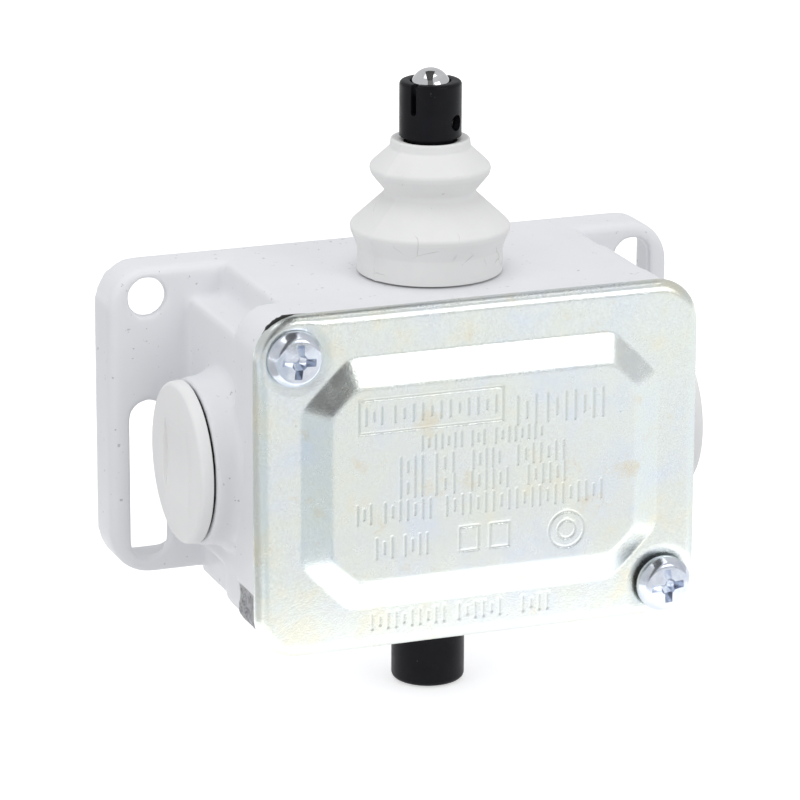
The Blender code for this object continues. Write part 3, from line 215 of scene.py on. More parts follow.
# Cover
SHEET = 1.0 * MM
COVER_FRONT = cover_low.y + 2.0 * MM
COVER_HALF = Vector(((cover_high.x - cover_low.x) / 2, 0, (cover_high.z - cover_low.z) / 2))
COVER_CORNER = 7.2 * MM
COVER_BEND = 2.0 * MM
COVER_STEP = 0.5 * MM
PANEL_HALF = COVER_HALF - Vector((7.3 * MM, 0, 7.3 * MM))
PANEL_SLOPE = Vector((4.4 * MM, 0, 4.8 * MM))
PANEL_CUT, PANEL_TOP_CUT = 7.7 * MM, 4.2 * MM
PANEL_RAISE = 2.0 * MM
MITRE_SHARPNESS = 10
SCREW_AT = {
    -1: Vector((-31.2 * MM, 0, MIDDLE_Z + 21.4 * MM)),
    1: Vector((31.5 * MM, 0, MIDDLE_Z - 22.3 * MM)),
}
CREASE_FOOT, CREASE_EDGE = 0.05, 0.13  # softness, as a share of the slope
DISH_DEPTH, DISH_FLAT, DISH_RIM = 0.42 * MM, 4.0 * MM, 6.6 * MM
DENT = Vector((-21.4 * MM, 0, -18.5 * MM))
DENT_DEPTH, DENT_RADIUS = 0.25 * MM, 0.8 * MM
DENT_LIP, DENT_LIP_RADIUS, DENT_LIP_WIDTH = 0.10 * MM, 1.25 * MM, 0.4 * MM
SCRATCH_DEPTH = 0.03 * MM
WAVE_HEIGHT, WAVE_X, WAVE_Z = 0.05 * MM, 9 * MM, 7 * MM
GASKET_WIDTH, EYE_RADIUS, EYE_HOLE_RADIUS = 3.0 * MM, 4.0 * MM, 2.4 * MM
CORNER_OUT, CORNER_UP = 0.40 * MM, 1.40 * MM
SCRIBE_DEPTH = 0.11 * MM

# Plunger side
BOOT_STEPS = 160
PARTING_TURN, PARTING_RIDGE = radians(22), 0.18 * MM
BOOT_SAG = 0.10 * MM
HEAD_RADIUS = (head_high.x - head_low.x) / 2
BALL_RADIUS = (ball_high.x - ball_low.x) / 2
CAP_RADIUS = (cap_high.x - cap_low.x) / 2
TRACK_HALF, TRACK_SHARE = 0.5 * MM, 0.006
SLIT = 1.0 * MM
SLIT_DEPTH = 5.0 * MM
SLIT_TURN = radians(36)
PIN_RADIUS = 1.0 * MM
PIN_DROP = 6.4 * MM
PIN_SINK = 1.2 * MM
PIN_HOLE = 2.6 * MM


# ---------------------------------------------------------------- modelling by hand
def deselect():
    if bpy.context.mode != "OBJECT":
        bpy.ops.object.mode_set(mode="OBJECT")
    bpy.ops.object.select_all(action="DESELECT")


def pick(piece):
    """Makes the piece the active one and the only one selected."""
    deselect()
    piece.select_set(True)
    bpy.context.view_layer.objects.active = piece


def settle(name, scale=None):
    """Names the primitive just added, and puts its place, turn and size in its mesh."""
    piece = bpy.context.object
    piece.name = piece.data.name = name
    if scale:
        piece.scale = scale  # a plane and a grid ignore the scale they are added with
    bpy.ops.object.transform_apply(location=True, rotation=True, scale=True)
    return piece


def place(piece, at, turn):
    """Moves and turns a piece, and puts both in its mesh."""
    piece.location, piece.rotation_euler = at, turn
    pick(piece)
    bpy.ops.object.transform_apply(location=True, rotation=True, scale=True)
    return piece


def block(name, low, high):
    deselect()
    low, high = Vector(map(min, low, high)), Vector(map(max, low, high))
    bpy.ops.mesh.primitive_cube_add(size=1, location=(low + high) / 2, scale=high - low)
    return settle(name)


def drum(name, radius, start, end, steps=64, tip_radius=None):
    """A round bar or a cone from one point to another."""
    deselect()
    start, end = Vector(start), Vector(end)
    turn = (end - start).to_track_quat("Z", "Y").to_euler()
    bpy.ops.mesh.primitive_cone_add(
        vertices=steps,
        radius1=radius,
        radius2=radius if tip_radius is None else tip_radius,
        depth=(end - start).length,
        location=(start + end) / 2,
        rotation=turn,
    )
    return settle(name)


def bar(name, radius, x, z, start, end, steps=32):
    """A round bar along Y, from one depth to another."""
    return drum(name, radius, (x, start, z), (x, end, z), steps)


def edit_edges(piece, chosen):
    """Enters edit mode with only the edges selected whose two ends pass the test."""
    pick(piece)
    bpy.ops.object.mode_set(mode="EDIT")
    bpy.ops.mesh.select_mode(type="EDGE")
    bpy.ops.mesh.select_all(action="DESELECT")
    mesh = bmesh.from_edit_mesh(piece.data)
    for edge in mesh.edges:
        edge.select_set(chosen(edge.verts[0].co, edge.verts[1].co))
    bmesh.update_edit_mesh(piece.data)


def round_edges(piece, chosen, radius, steps=8):
    edit_edges(piece, chosen)
    bpy.ops.mesh.bevel(
        offset=radius, offset_type="OFFSET", segments=steps, profile=0.5, affect="EDGES"
    )
    bpy.ops.object.mode_set(mode="OBJECT")
    return piece


def runs_along_y(a, b):
    return abs(a.x - b.x) < 1e-6 and abs(a.z - b.z) < 1e-6


def rounded_block(name, low, high, corner, steps=8):
    """A block whose four edges along Y are rounded."""
    return round_edges(block(name, low, high), runs_along_y, corner, steps)


def add_step(piece, kind, **settings):
    """Adds a modifier and applies it."""
    step = piece.modifiers.new(kind.lower(), kind)
    for key, value in settings.items():
        setattr(step, key, value)
    pick(piece)
    bpy.ops.object.modifier_apply(modifier=step.name)
    return piece


def combine(piece, others, operation, solver="MANIFOLD"):
    for other in others:
        add_step(piece, "BOOLEAN", object=other, operation=operation, solver=solver)
        bpy.data.objects.remove(other, do_unlink=True)
    return piece


def join(piece, *others):
    return combine(piece, others, "UNION")


def cut(piece, *others):
    return combine(piece, others, "DIFFERENCE")


def filleted(corners, steps=5):
    """Corners (radius, height) or (radius, height, fillet) as points, each fillet an arc."""
    points = []
    for i, corner in enumerate(corners):
        here = Vector(corner[:2])
        fillet = corner[2] if len(corner) > 2 else 0
        if not fillet or i in (0, len(corners) - 1):
            points.append(tuple(here))
            continue
        before, after = Vector(corners[i - 1][:2]) - here, Vector(corners[i + 1][:2]) - here
        half = before.angle(after) / 2
        reach = min(fillet / tan(half), 0.49 * before.length, 0.49 * after.length)
        start, end = here + before.normalized() * reach, here + after.normalized() * reach
        towards = (before.normalized() + after.normalized()).normalized()
        centre = here + towards * reach / cos(half)
        radius = reach * tan(half)
        for k in range(steps + 1):
            arm = (start - centre).lerp(end - centre, k / steps).normalized()
            points.append(tuple(centre + arm * radius))
    return points


def spun(name, profile, at=(0, 0, 0), turn=(0, 0, 0), steps=96, smooth=35):
    """A profile of (radius, height), drawn by extruding one point, spun about its own Z."""
    deselect()
    bpy.ops.mesh.primitive_plane_add(size=MM, location=(profile[0][0], 0, profile[0][1]))
    piece = settle(name)
    bpy.ops.object.mode_set(mode="EDIT")
    bpy.ops.mesh.select_mode(type="VERT")
    bpy.ops.mesh.select_all(action="SELECT")
    bpy.ops.mesh.merge(type="CENTER")
    for (r0, z0), (r1, z1) in zip(profile, profile[1:]):
        bpy.ops.mesh.extrude_vertices_move(TRANSFORM_OT_translate={"value": (r1 - r0, 0, z1 - z0)})
    bpy.ops.mesh.select_all(action="SELECT")
    bpy.ops.mesh.spin(steps=steps, angle=tau, center=(0, 0, 0), axis=(0, 0, 1))
    bpy.ops.mesh.select_all(action="SELECT")
    bpy.ops.mesh.remove_doubles(threshold=2e-6)
    bpy.ops.mesh.normals_make_consistent(inside=False)
    bpy.ops.object.mode_set(mode="OBJECT")
    place(piece, at, turn)
    return shade(piece, smooth)


def shade(piece, angle=35):
    pick(piece)
    bpy.ops.object.shade_smooth_by_angle(angle=radians(angle))
    return piece


def points_of(piece):
    flat = np.empty(len(piece.data.vertices) * 3, np.float32)
    piece.data.vertices.foreach_get("co", flat)
    return flat.reshape(-1, 3).astype(float)


def move_points(piece, points):
    piece.data.vertices.foreach_set("co", points.astype(np.float32).ravel())
    piece.data.update()


def smoothstep(low, high, value):
    share = np.clip((value - low) / (high - low), 0, 1)
    return share * share * (3 - 2 * share)


def ripple(points, size, seed=0.0):
    """Smooth noise from -1 to 1 at each point, in waves of about the given size."""
    return np.array([noise.noise(Vector(p) / size + Vector((seed, seed, seed))) for p in points])


# ---------------------------------------------------------------- materials
def new_material(name, roughness, metallic=0.0, **sockets):
    """A material with its constants on the shader, and the Object coordinates it reads."""
    material = bpy.data.materials.new(name)
    material.use_nodes = True
    shader = material.node_tree.nodes["Principled BSDF"]
    shader.inputs["Roughness"].default_value = roughness
    shader.inputs["Metallic"].default_value = metallic
    for socket, value in sockets.items():
        shader.inputs[socket.replace("_", " ")].default_value = value
    coords = material.node_tree.nodes.new("ShaderNodeTexCoord").outputs["Object"]
    return material, material.node_tree, shader, coords


def blotches(tree, coords, size, detail=3.0, rough=0.55, stretch=None, turn=(0, 0, 0)):
    """Noise with blotches of about this size in metres, longer along an axis if stretched."""
    if stretch:
        mapping = tree.nodes.new("ShaderNodeMapping")
        mapping.inputs["Scale"].default_value = stretch
        mapping.inputs["Rotation"].default_value = turn
        tree.links.new(coords, mapping.inputs["Vector"])
        coords = mapping.outputs["Vector"]
    texture = tree.nodes.new("ShaderNodeTexNoise")
    texture.inputs["Scale"].default_value = 1 / size
    texture.inputs["Detail"].default_value = detail
    texture.inputs["Roughness"].default_value = rough
    tree.links.new(coords, texture.inputs["Vector"])
    return texture.outputs[0]


def ramp(tree, value, *stops):
    """Colours along a value. A stop is (position, colour), and a single number is a grey."""
    node = tree.nodes.new("ShaderNodeValToRGB")
    while len(node.color_ramp.elements) < len(stops):
        node.color_ramp.elements.new(1.0)
    for element, (position, colour) in zip(node.color_ramp.elements, stops):
        element.position = position
        element.color = (*colour, 1) if isinstance(colour, tuple) else (colour,) * 3 + (1,)
    tree.links.new(value, node.inputs["Fac"])
    return node.outputs["Color"]


def mix(tree, share, first, second, kind="MIX"):
    """Mixes two colours, each a socket or a plain colour."""
    node = tree.nodes.new("ShaderNodeMix")
    node.data_type = "RGBA"
    node.blend_type = kind
    for socket, value in ((0, share), (6, first), (7, second)):
        if isinstance(value, bpy.types.NodeSocket):
            tree.links.new(value, node.inputs[socket])
        elif isinstance(value, tuple):
            node.inputs[socket].default_value = (*value, 1)
        else:
            node.inputs[socket].default_value = value
    return node.outputs[2]


def bumped(tree, shader, *layers):
    """Bump layers of (height, strength, distance), the coarse ones first."""
    normal = None
    for height, strength, distance in layers:
        node = tree.nodes.new("ShaderNodeBump")
        node.inputs["Strength"].default_value = strength
        node.inputs["Distance"].default_value = distance
        tree.links.new(height, node.inputs["Height"])
        if normal:
            tree.links.new(normal, node.inputs["Normal"])
        normal = node.outputs["Normal"]
    tree.links.new(normal, shader.inputs["Normal"])


def case_paint():
    """Light grey semi-gloss paint over a casting, bare and torn where its gate was sheared off."""
    material, tree, shader, coords = new_material("case_paint", 0.4, IOR=1.5)
    dull, clean = (0.815, 0.82, 0.845), (0.84, 0.845, 0.865)
    tone = ramp(tree, blotches(tree, coords, 14 * MM), (0.3, dull), (0.7, clean))
    specks = ramp(tree, blotches(tree, coords, 1.1 * MM, 2), (0.26, 0.0), (0.3, 1.0))
    tone = mix(tree, specks, (0.56, 0.56, 0.58), tone)
    torn = tree.nodes.new("ShaderNodeAttribute")
    torn.attribute_name = "torn"
    grain = blotches(tree, coords, 0.5 * MM, 5, 0.7)
    dark, grey, bright = (0.12, 0.12, 0.13), (0.42, 0.42, 0.44), (0.75, 0.75, 0.77)
    metal = ramp(tree, grain, (0.35, dark), (0.6, grey), (0.75, bright))
    tree.links.new(mix(tree, torn.outputs["Fac"], tone, metal), shader.inputs["Base Color"])
    gloss = ramp(tree, blotches(tree, coords, 5 * MM), (0.3, 0.34), (0.7, 0.46))
    tree.links.new(gloss, shader.inputs["Roughness"])
    peel, dust = blotches(tree, coords, 1.3 * MM, 2), blotches(tree, coords, 0.22 * MM, 2)
    bumped(tree, shader, (peel, 0.16, 0.05 * MM), (dust, 0.10, 0.02 * MM))
    return material


def zinc_sheet():
    """Passivated zinc on pressed sheet: patches, brown stains, pits, scratches and grain, with painted shade darkening
    the engraved grooves.
    """
    material, tree, shader, coords = new_material("zinc_sheet", 0.35, 1.0)
    patches = blotches(tree, coords, 11 * MM, 3, 0.6)
    tone = ramp(
        tree,
        patches,
        (0.30, (0.80, 0.86, 0.92)),
        (0.44, (0.84, 0.88, 0.87)),
        (0.56, (0.85, 0.89, 0.84)),
        (0.68, (0.89, 0.88, 0.76)),
    )
    stains = ramp(tree, blotches(tree, coords, 6 * MM, 5, 0.65), (0.60, 0.0), (0.74, 0.55))
    tone = mix(tree, stains, tone, (0.80, 0.70, 0.50))
    pits = ramp(tree, blotches(tree, coords, 0.9 * MM, 3, 0.6), (0.22, 1.0), (0.27, 0.0))
    tone = mix(tree, pits, tone, (0.34, 0.33, 0.30))
    # Painted shade: the colour is greyed along the engraved grooves, as if shadowed in them.
    groove_shade = tree.nodes.new("ShaderNodeAttribute")
    groove_shade.attribute_name = "groove_shade"
    shadow = mix(tree, groove_shade.outputs["Fac"], (0.0, 0.0, 0.0), (0.30, 0.30, 0.30))
    tone = mix(tree, shadow, tone, (0.42, 0.43, 0.38))
    streak = blotches(tree, coords, 0.25 * MM, 2, 0.5, (0.06, 1, 1), (0, radians(58), 0))
    streak = ramp(tree, streak, (0.72, 0.0), (0.78, 0.18))
    tone = mix(tree, streak, tone, (0.60, 0.60, 0.56))
    grain = blotches(tree, coords, 0.26 * MM, 3, 0.7)
    tone = mix(tree, ramp(tree, grain, (0.35, 0.22), (0.6, 0.0)), tone, (0.55, 0.55, 0.54))
    tree.links.new(tone, shader.inputs["Base Color"])
    gloss = ramp(tree, blotches(tree, coords, 2.4 * MM, 4, 0.6), (0.3, 0.16), (0.7, 0.30))
    tree.links.new(gloss, shader.inputs["Roughness"])
    hammered = blotches(tree, coords, 3.2 * MM, 2)
    bumped(tree, shader, (hammered, 0.22, 0.10 * MM), (grain, 0.90, 0.04 * MM))
    return material


def plated(name, light, dark, roughness, grain_size=0.3 * MM, grain=0.12):
    """A metal with a mottled plating or a turned surface."""
    material, tree, shader, coords = new_material(name, roughness, 1.0)
    tone = ramp(tree, blotches(tree, coords, 2.5 * MM, 4, 0.6), (0.32, dark), (0.62, light))
    tree.links.new(tone, shader.inputs["Base Color"])
    duller = blotches(tree, coords, 1.2 * MM)
    gloss = ramp(tree, duller, (0.3, roughness * 0.75), (0.7, roughness * 1.3))
    tree.links.new(gloss, shader.inputs["Roughness"])
    bumped(tree, shader, (blotches(tree, coords, grain_size, 3, 0.6), grain, 0.03 * MM))
    return material


def moulded(name, light, dark, roughness, size=0.35 * MM, texture=0.18, **sockets):
    """A moulded plastic or rubber with a fine skin."""
    material, tree, shader, coords = new_material(name, roughness, **sockets)
    tone = ramp(tree, blotches(tree, coords, 6 * MM, 4, 0.6), (0.3, dark), (0.7, light))
    dust = ramp(tree, blotches(tree, coords, 0.7 * MM, 3, 0.6), (0.70, 0.0), (0.78, 0.12))
    tree.links.new(mix(tree, dust, tone, (0.5, 0.5, 0.5)), shader.inputs["Base Color"])
    duller = blotches(tree, coords, 2 * MM)
    gloss = ramp(tree, duller, (0.3, roughness * 0.88), (0.7, roughness * 1.14))
    tree.links.new(gloss, shader.inputs["Roughness"])
    bumped(tree, shader, (blotches(tree, coords, size, 3, 0.6), texture, 0.04 * MM))
    return material


def boot_rubber():
    """Matt off-white rubber with hairline cracks and a few grey specks."""
    material, tree, shader, coords = new_material(
        "white_rubber", 0.62, IOR=1.45, Subsurface_Weight=0.08
    )
    shader.inputs["Subsurface Radius"].default_value = (1.2 * MM, 1.0 * MM, 0.8 * MM)
    dull, clean = (0.80, 0.798, 0.79), (0.84, 0.838, 0.83)
    tone = ramp(tree, blotches(tree, coords, 8 * MM, 4), (0.3, dull), (0.7, clean))
    cells = tree.nodes.new("ShaderNodeTexVoronoi")
    cells.feature = "DISTANCE_TO_EDGE"
    cells.inputs["Scale"].default_value = 1 / (5.5 * MM)
    bent = tree.nodes.new("ShaderNodeVectorMath")
    bent.operation = "MULTIPLY_ADD"
    bent.inputs[1].default_value = (0.0016,) * 3
    wander = tree.nodes.new("ShaderNodeTexNoise")
    wander.inputs["Scale"].default_value = 1 / (2.5 * MM)
    tree.links.new(coords, wander.inputs["Vector"])
    tree.links.new(wander.outputs["Color"], bent.inputs[0])
    tree.links.new(coords, bent.inputs[2])
    tree.links.new(bent.outputs["Vector"], cells.inputs["Vector"])
    crack = ramp(tree, cells.outputs["Distance"], (0.004, 1.0), (0.012, 0.0))
    where = ramp(tree, blotches(tree, coords, 9 * MM, 2), (0.60, 0.0), (0.66, 0.6))
    crack = mix(tree, where, (0.0, 0.0, 0.0), crack)
    tone = mix(tree, crack, tone, (0.40, 0.39, 0.37))
    specks = ramp(tree, blotches(tree, coords, 0.8 * MM, 2), (0.22, 1.0), (0.25, 0.0))
    tree.links.new(mix(tree, specks, tone, (0.45, 0.44, 0.42)), shader.inputs["Base Color"])
    skin, dents = blotches(tree, coords, 0.4 * MM, 3), blotches(tree, coords, 4 * MM, 2)
    cracked = (crack, -0.3, 0.03 * MM)
    bumped(tree, shader, (dents, 0.15, 0.15 * MM), (skin, 0.14, 0.03 * MM), cracked)
    gloss = ramp(tree, blotches(tree, coords, 3 * MM), (0.3, 0.55), (0.7, 0.70))
    tree.links.new(gloss, shader.inputs["Roughness"])
    return material


MATERIALS = {
    "case_paint": case_paint(),
    "zinc_sheet": zinc_sheet(),
    "zinc_screw": plated("zinc_screw", (0.80, 0.84, 0.91), (0.66, 0.70, 0.80), 0.20),
    "black_plastic": moulded(
        "black_plastic",
        (0.010, 0.010, 0.013),
        (0.006, 0.006, 0.008),
        0.38,
        0.3 * MM,
        0.12,
        Specular_IOR_Level=0.12,
    ),
    "black_rubber": moulded("black_rubber", (0.018, 0.018, 0.018), (0.010, 0.010, 0.010), 0.7),
    "white_rubber": boot_rubber(),
    "grey_plastic": moulded(
        "grey_plastic", (0.89, 0.888, 0.885), (0.87, 0.868, 0.865), 0.5, 0.28 * MM, 0.25
    ),
    "chrome_steel": plated(
        "chrome_steel", (0.80, 0.80, 0.81), (0.72, 0.72, 0.73), 0.07, 0.5 * MM, 0.02
    ),
    "bright_steel": plated("bright_steel", (0.62, 0.63, 0.64), (0.50, 0.51, 0.52), 0.28),
    "spring_steel": plated("spring_steel", (0.46, 0.47, 0.49), (0.34, 0.35, 0.37), 0.32),
    "brass": plated("brass", (0.80, 0.62, 0.30), (0.64, 0.46, 0.21), 0.30),
    "silvered_copper": plated("silvered_copper", (0.84, 0.80, 0.73), (0.72, 0.62, 0.50), 0.28),
    "dark_moulding": moulded("dark_moulding", (0.075, 0.055, 0.042), (0.05, 0.036, 0.028), 0.45),
}


def dress(piece, slot, body, *nodes):
    """Gives a finished piece its material, its body and the frame's solids that it stands for."""
    piece.data.materials.clear()
    piece.data.materials.append(MATERIALS[slot])
    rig.ride(piece, body)
    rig.slot(piece, slot)
    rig.replaces(piece, *nodes)
    return piece


# ---------------------------------------------------------------- case
def notch_cutters():
    """The case is cut back at four corners: deep at two, shallow at the others."""
    rim_back = RIM_FRONT + RIM_DEPTH
    places = (
        (-1, 1, DEEP_NOTCH, rim_back),
        (1, -1, DEEP_NOTCH, rim_back),
        (1, 1, SHALLOW_NOTCH, -PLATE_DEPTH - 10 * MM),
        (-1, -1, SHALLOW_NOTCH, -PLATE_DEPTH - 16 * MM),
    )
    for side, end, width, front in places:
        inner = Vector((side * (BOX_WIDTH / 2 - width), MM, end * (TOP - NOTCH_HEIGHT)))
        outer = Vector((side * (BOX_WIDTH / 2 + 2 * MM), front, end * (TOP + NOTCH_HEIGHT)))
        yield rounded_block("notch", inner, outer, 1.6 * MM, 4)


def cable_boss(side):
    root = Vector((side * (BOX_WIDTH / 2 - WALL / 2), AXIS.y, ENTRY_Z))
    profile = filleted(
        [
            (0, WALL / 2 + BOSS_LENGTH),
            (BOSS_TIP / 2, WALL / 2 + BOSS_LENGTH, 0.5 * MM),
            (BOSS_TIP / 2 + 0.25 * MM, WALL / 2 + BOSS_LENGTH / 2, 2 * MM),
            (BOSS_FOOT / 2, WALL / 2 - 0.2 * MM, 1 * MM),
            (BOSS_FOOT / 2, 0),
            (0, 0),
        ]
    )
    return spun("boss", profile, root, (0, side * pi / 2, 0), steps=96)


def ear_cutters(side):
    """The hollow behind one ear, its round hole and its slot."""
    inner, outer = side * (BOX_WIDTH / 2 + 0.2 * MM), side * (case_high.x - SKIRT_WALL)
    reach, front = TOP - SKIRT_WALL, -PLATE_DEPTH - MM
    low, high = (inner, -PLATE_DEPTH + EAR_WALL, -reach), (outer, MM, reach)
    yield rounded_block("hollow", low, high, 3.6 * MM)
    x, hole_z = side * (case_high.x - MOUNT_INSET.x), -side * (TOP - MOUNT_INSET.z)
    yield bar("hole", MOUNT_HOLE / 2, x, hole_z, MM, front, 64)
    far = side * (TOP - MOUNT_SLOT_INSET)
    near = far - side * MOUNT_SLOT_LENGTH
    half = MOUNT_HOLE / 2
    yield rounded_block("slot", (x - half, front, near), (x + half, MM, far), half * 0.998, 16)


def add_post(case, x, z, radius, height, tap, floor):
    """A post that stands on the case's back wall, with a screw hole down its middle."""
    join(case, bar("post", radius, x, z, -BACK_WALL / 2, -height))
    cut(case, bar("tap", tap, x, z, -floor, -height - MM, 24))


def make_case():
    """One die casting: plate with hollow ears, box, rim and bosses, its edges softened."""
    plate_low, plate_high = (case_low.x, -PLATE_DEPTH, -TOP), (case_high.x, 0, TOP)
    case = rounded_block("case_casting", plate_low, plate_high, PLATE_CORNER, 12)
    round_edges(case, lambda a, b: max(a.y, b.y) < -PLATE_DEPTH + 1e-6, PLATE_EDGE, 4)
    body = rounded_block(
        "body",
        (-BOX_WIDTH / 2, RIM_FRONT + MM, BOTTOM),
        (BOX_WIDTH / 2, -PLATE_DEPTH / 2, TOP),
        BOX_CORNER,
    )
    cut(body, *notch_cutters())
    rim = rounded_block(
        "rim",
        (-RIM_WIDTH / 2, RIM_FRONT, BOTTOM),
        (RIM_WIDTH / 2, RIM_FRONT + RIM_DEPTH, TOP),
        RIM_CORNER,
    )
    join(case, body, rim, cable_boss(-1), cable_boss(1))
    side, narrow = BOX_WIDTH / 2 - WALL, BOX_WIDTH / 2 - DEEP_NOTCH - WALL
    reach, front = TOP - NOTCH_HEIGHT - WALL, RIM_FRONT - MM
    low, high = (-narrow, front, BOTTOM + WALL), (narrow, -BACK_WALL, TOP - WALL)
    bush_low, bush_high = (0, AXIS.y, TOP - 2 * WALL), (0, AXIS.y, TOP + MM)
    guide_low, guide_high = (0, AXIS.y, BOTTOM - MM), (0, AXIS.y, BOTTOM + 2 * WALL)
    cut(
        case,
        rounded_block("cavity", (-side, front, -reach), (side, -BACK_WALL, reach), NECK_CORNER, 3),
        rounded_block("cavity", low, high, CAVITY_CORNER, 3),
        *ear_cutters(-1),
        *ear_cutters(1),
        drum("bore", BUSH_BORE / 2, bush_low, bush_high),
        drum("bore", GUIDE_BORE / 2, guide_high, guide_low),
    )
    for side in (-1, 1):
        start = (side * (BOX_WIDTH / 2 - 2 * WALL), AXIS.y, ENTRY_Z)
        seat = (side * (BOX_WIDTH / 2 + BOSS_LENGTH - SEAL_SEAT), AXIS.y, ENTRY_Z)
        end = (side * (BOX_WIDTH / 2 + BOSS_LENGTH + MM), AXIS.y, ENTRY_Z)
        screw, screw_end = SCREW_AT[side], RIM_FRONT + COVER_SCREW_DEPTH
        cut(
            case,
            drum("entry", ENTRY_BORE / 2, start, end),
            drum("seat", SEAL_RADIUS + SEAT_ROOM, seat, end),
            bar("screw", COVER_SCREW_BORE / 2, screw.x, screw.z, screw_end, front, 24),
        )
        add_post(case, side * BLOCK_POST_AT.x, side * BLOCK_POST_AT.z, **BLOCK_POST)
        for z in (-EJECTOR_AT.z, EJECTOR_AT.z):
            cut(case, bar("ejector", EJECTOR_RADIUS, side * EJECTOR_AT.x, z, -EJECTOR_MARK, MM))
    earth_low, earth_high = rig.box("earth_clamp")
    earth = (earth_low + earth_high) / 2
    add_post(case, earth.x, earth.z, **EARTH_POST)
    scar_low = (-RIM_WIDTH / 2 - MM, RIM_FRONT - MM, BOTTOM - MM)
    scar_high = (-RIM_WIDTH / 2 + SCAR_DEPTH, RIM_FRONT + RIM_DEPTH + MM, SCAR_TOP)
    cut(case, block("scar", scar_low, scar_high))
    add_step(case, "REMESH", mode="VOXEL", voxel_size=CAST_VOXEL)
    add_step(case, "SMOOTH", factor=0.5, iterations=CAST_SMOOTHING)
    tear_gate(case)
    pick(case)
    bpy.ops.object.shade_smooth()
    return dress(case, "case_paint", "case", "housing")


def tear_gate(case):
    """Roughens the corner where the casting's gate was sheared off, and marks it as bare metal."""
    points = points_of(case)
    x, y, z = points.T
    rim_back = RIM_FRONT + RIM_DEPTH
    torn = (
        smoothstep(-35.2 * MM, -35.6 * MM, x)
        * smoothstep(SCAR_TOP + 0.2 * MM, SCAR_TOP - 0.4 * MM, z)
        * smoothstep(rim_back + 0.5 * MM, rim_back - 0.3 * MM, y)
    )
    spots = np.nonzero(torn > 0.02)[0]
    points[spots, 0] += torn[spots] * ripple(points[spots], 1.6 * MM) * TEAR_DEPTH
    move_points(case, points)
    mark = case.data.attributes.new("torn", "FLOAT", "POINT")
    mark.data.foreach_set("value", torn.astype(np.float32))


# ---------------------------------------------------------------- cover
# In millimetres: a row's middle height, tick height and pitch, then the span of each group
TICK_ROWS = (
    (10.4, 2.6, 1.5, (-20.2, -17.6), (-15.4, 1.6)),
    (8.9, 4.6, 1.7, (5.3, 8.4), (10.4, 19.9)),
    (5.2, 2.3, 1.2, (-10.8, -4.2), (-2.4, -0.4), (1.6, 9.4)),
    (1.6, 3.1, 1.25, (-14.4, -10.8), (-8.4, -5.6), (-2.2, 2.2), (5.4, 13.2)),
    (-1.9, 3.1, 1.25, (-14.4, -10.8), (-8.4, -5.4), (-2.4, 3.6), (7.2, 13.4)),
    (-5.6, 3.1, 1.3, (-21.6, -19.4), (-17.0, -9.4), (-6.6, 19.8)),
    (-11.4, 3.3, 1.25, (-18.4, -15.8), (-13.6, -9.9)),
    (-24.2, 2.5, 1.35, (-18.4, -6.2), (-3.6, 3.4), (7.4, 11.6)),
)
# In millimetres: left, low, right and high
FRAMES = ((-21.4, 7.65, 2.8, 13.1), (-4.4, -13.4, -1.2, -9.4), (0.8, -13.4, 4.0, -9.4))


def tick_row(middle_z, height, pitch, *groups):
    """Upright ticks in groups, every few of them shorter, as a plain engraved row."""
    for start, end in groups:
        count = max(1, round((end - start) / pitch))
        for i in range(count + 1):
            x = start + (end - start) * i / count
            half = height / 2 * (0.55 if i % 3 == 1 else 1.0)
            yield x, middle_z - half, x, middle_z + half


def scribed_lines():
    """Start and end of each engraved line on the cover, in X and Z."""
    lines = [line for row in TICK_ROWS for line in tick_row(*row)]
    for left, low, right, high in FRAMES:
        corners = ((left, low), (right, low), (right, high), (left, high))
        lines += [(*a, *b) for a, b in zip(corners, [*corners[1:], corners[0]])]
    return [tuple(v * MM for v in line) for line in lines]


SCRIBED_RINGS = ((13.9 * MM, -11.8 * MM, 3.0 * MM), (13.9 * MM, -11.8 * MM, 1.5 * MM))
SCRATCHES = (
    (-17.6 * MM, 7.4 * MM, -23.5 * MM, -2.6 * MM),
    (11.5 * MM, 7.5 * MM, 15.2 * MM, 0.5 * MM),
    (26.5 * MM, 25.2 * MM, 26.2 * MM, 19.4 * MM),
    (-23.9 * MM, -12.2 * MM, -20.6 * MM, -16.8 * MM),
)


def to_lines(x, z, lines):
    """Distance from each point to the nearest of the lines."""
    nearest = np.full(x.shape, 1.0)
    for x0, z0, x1, z1 in lines:
        dx, dz = x1 - x0, z1 - z0
        along = np.clip(((x - x0) * dx + (z - z0) * dz) / (dx * dx + dz * dz), 0, 1)
        nearest = np.minimum(nearest, np.hypot(x - x0 - along * dx, z - z0 - along * dz))
    return nearest


def to_marks(x, z):
    nearest = to_lines(x, z, scribed_lines())
    for ring_x, ring_z, radius in SCRIBED_RINGS:
        nearest = np.minimum(nearest, abs(np.hypot(x - ring_x, z - ring_z) - radius))
    return nearest


def up_the_slope(x, z):
    """0 at the foot of the raised panel, 1 at its edge, more on it."""
    x, z = abs(x), abs(z - MIDDLE_Z)
    foot = PANEL_HALF.x + PANEL_HALF.z - PANEL_CUT
    rise = foot - (PANEL_HALF.x - PANEL_SLOPE.x + PANEL_HALF.z - PANEL_SLOPE.z - PANEL_TOP_CUT)
    across, up = (PANEL_HALF.x - x) / PANEL_SLOPE.x, (PANEL_HALF.z - z) / PANEL_SLOPE.z
    sides = (across, up, (foot - x - z) / rise)
    lowest = np.minimum(np.minimum(across, up), sides[2])
    rounding = sum(np.exp((lowest - share) * MITRE_SHARPNESS) for share in sides)
    return lowest - np.log(rounding) / MITRE_SHARPNESS


def soft_ramp(value, blur):
    """0 below 0 and the value itself above, rounded within the blur."""
    bend = (value + blur) ** 2 / (4 * blur)
    return np.where(value < -blur, 0, np.where(value > blur, value, bend))


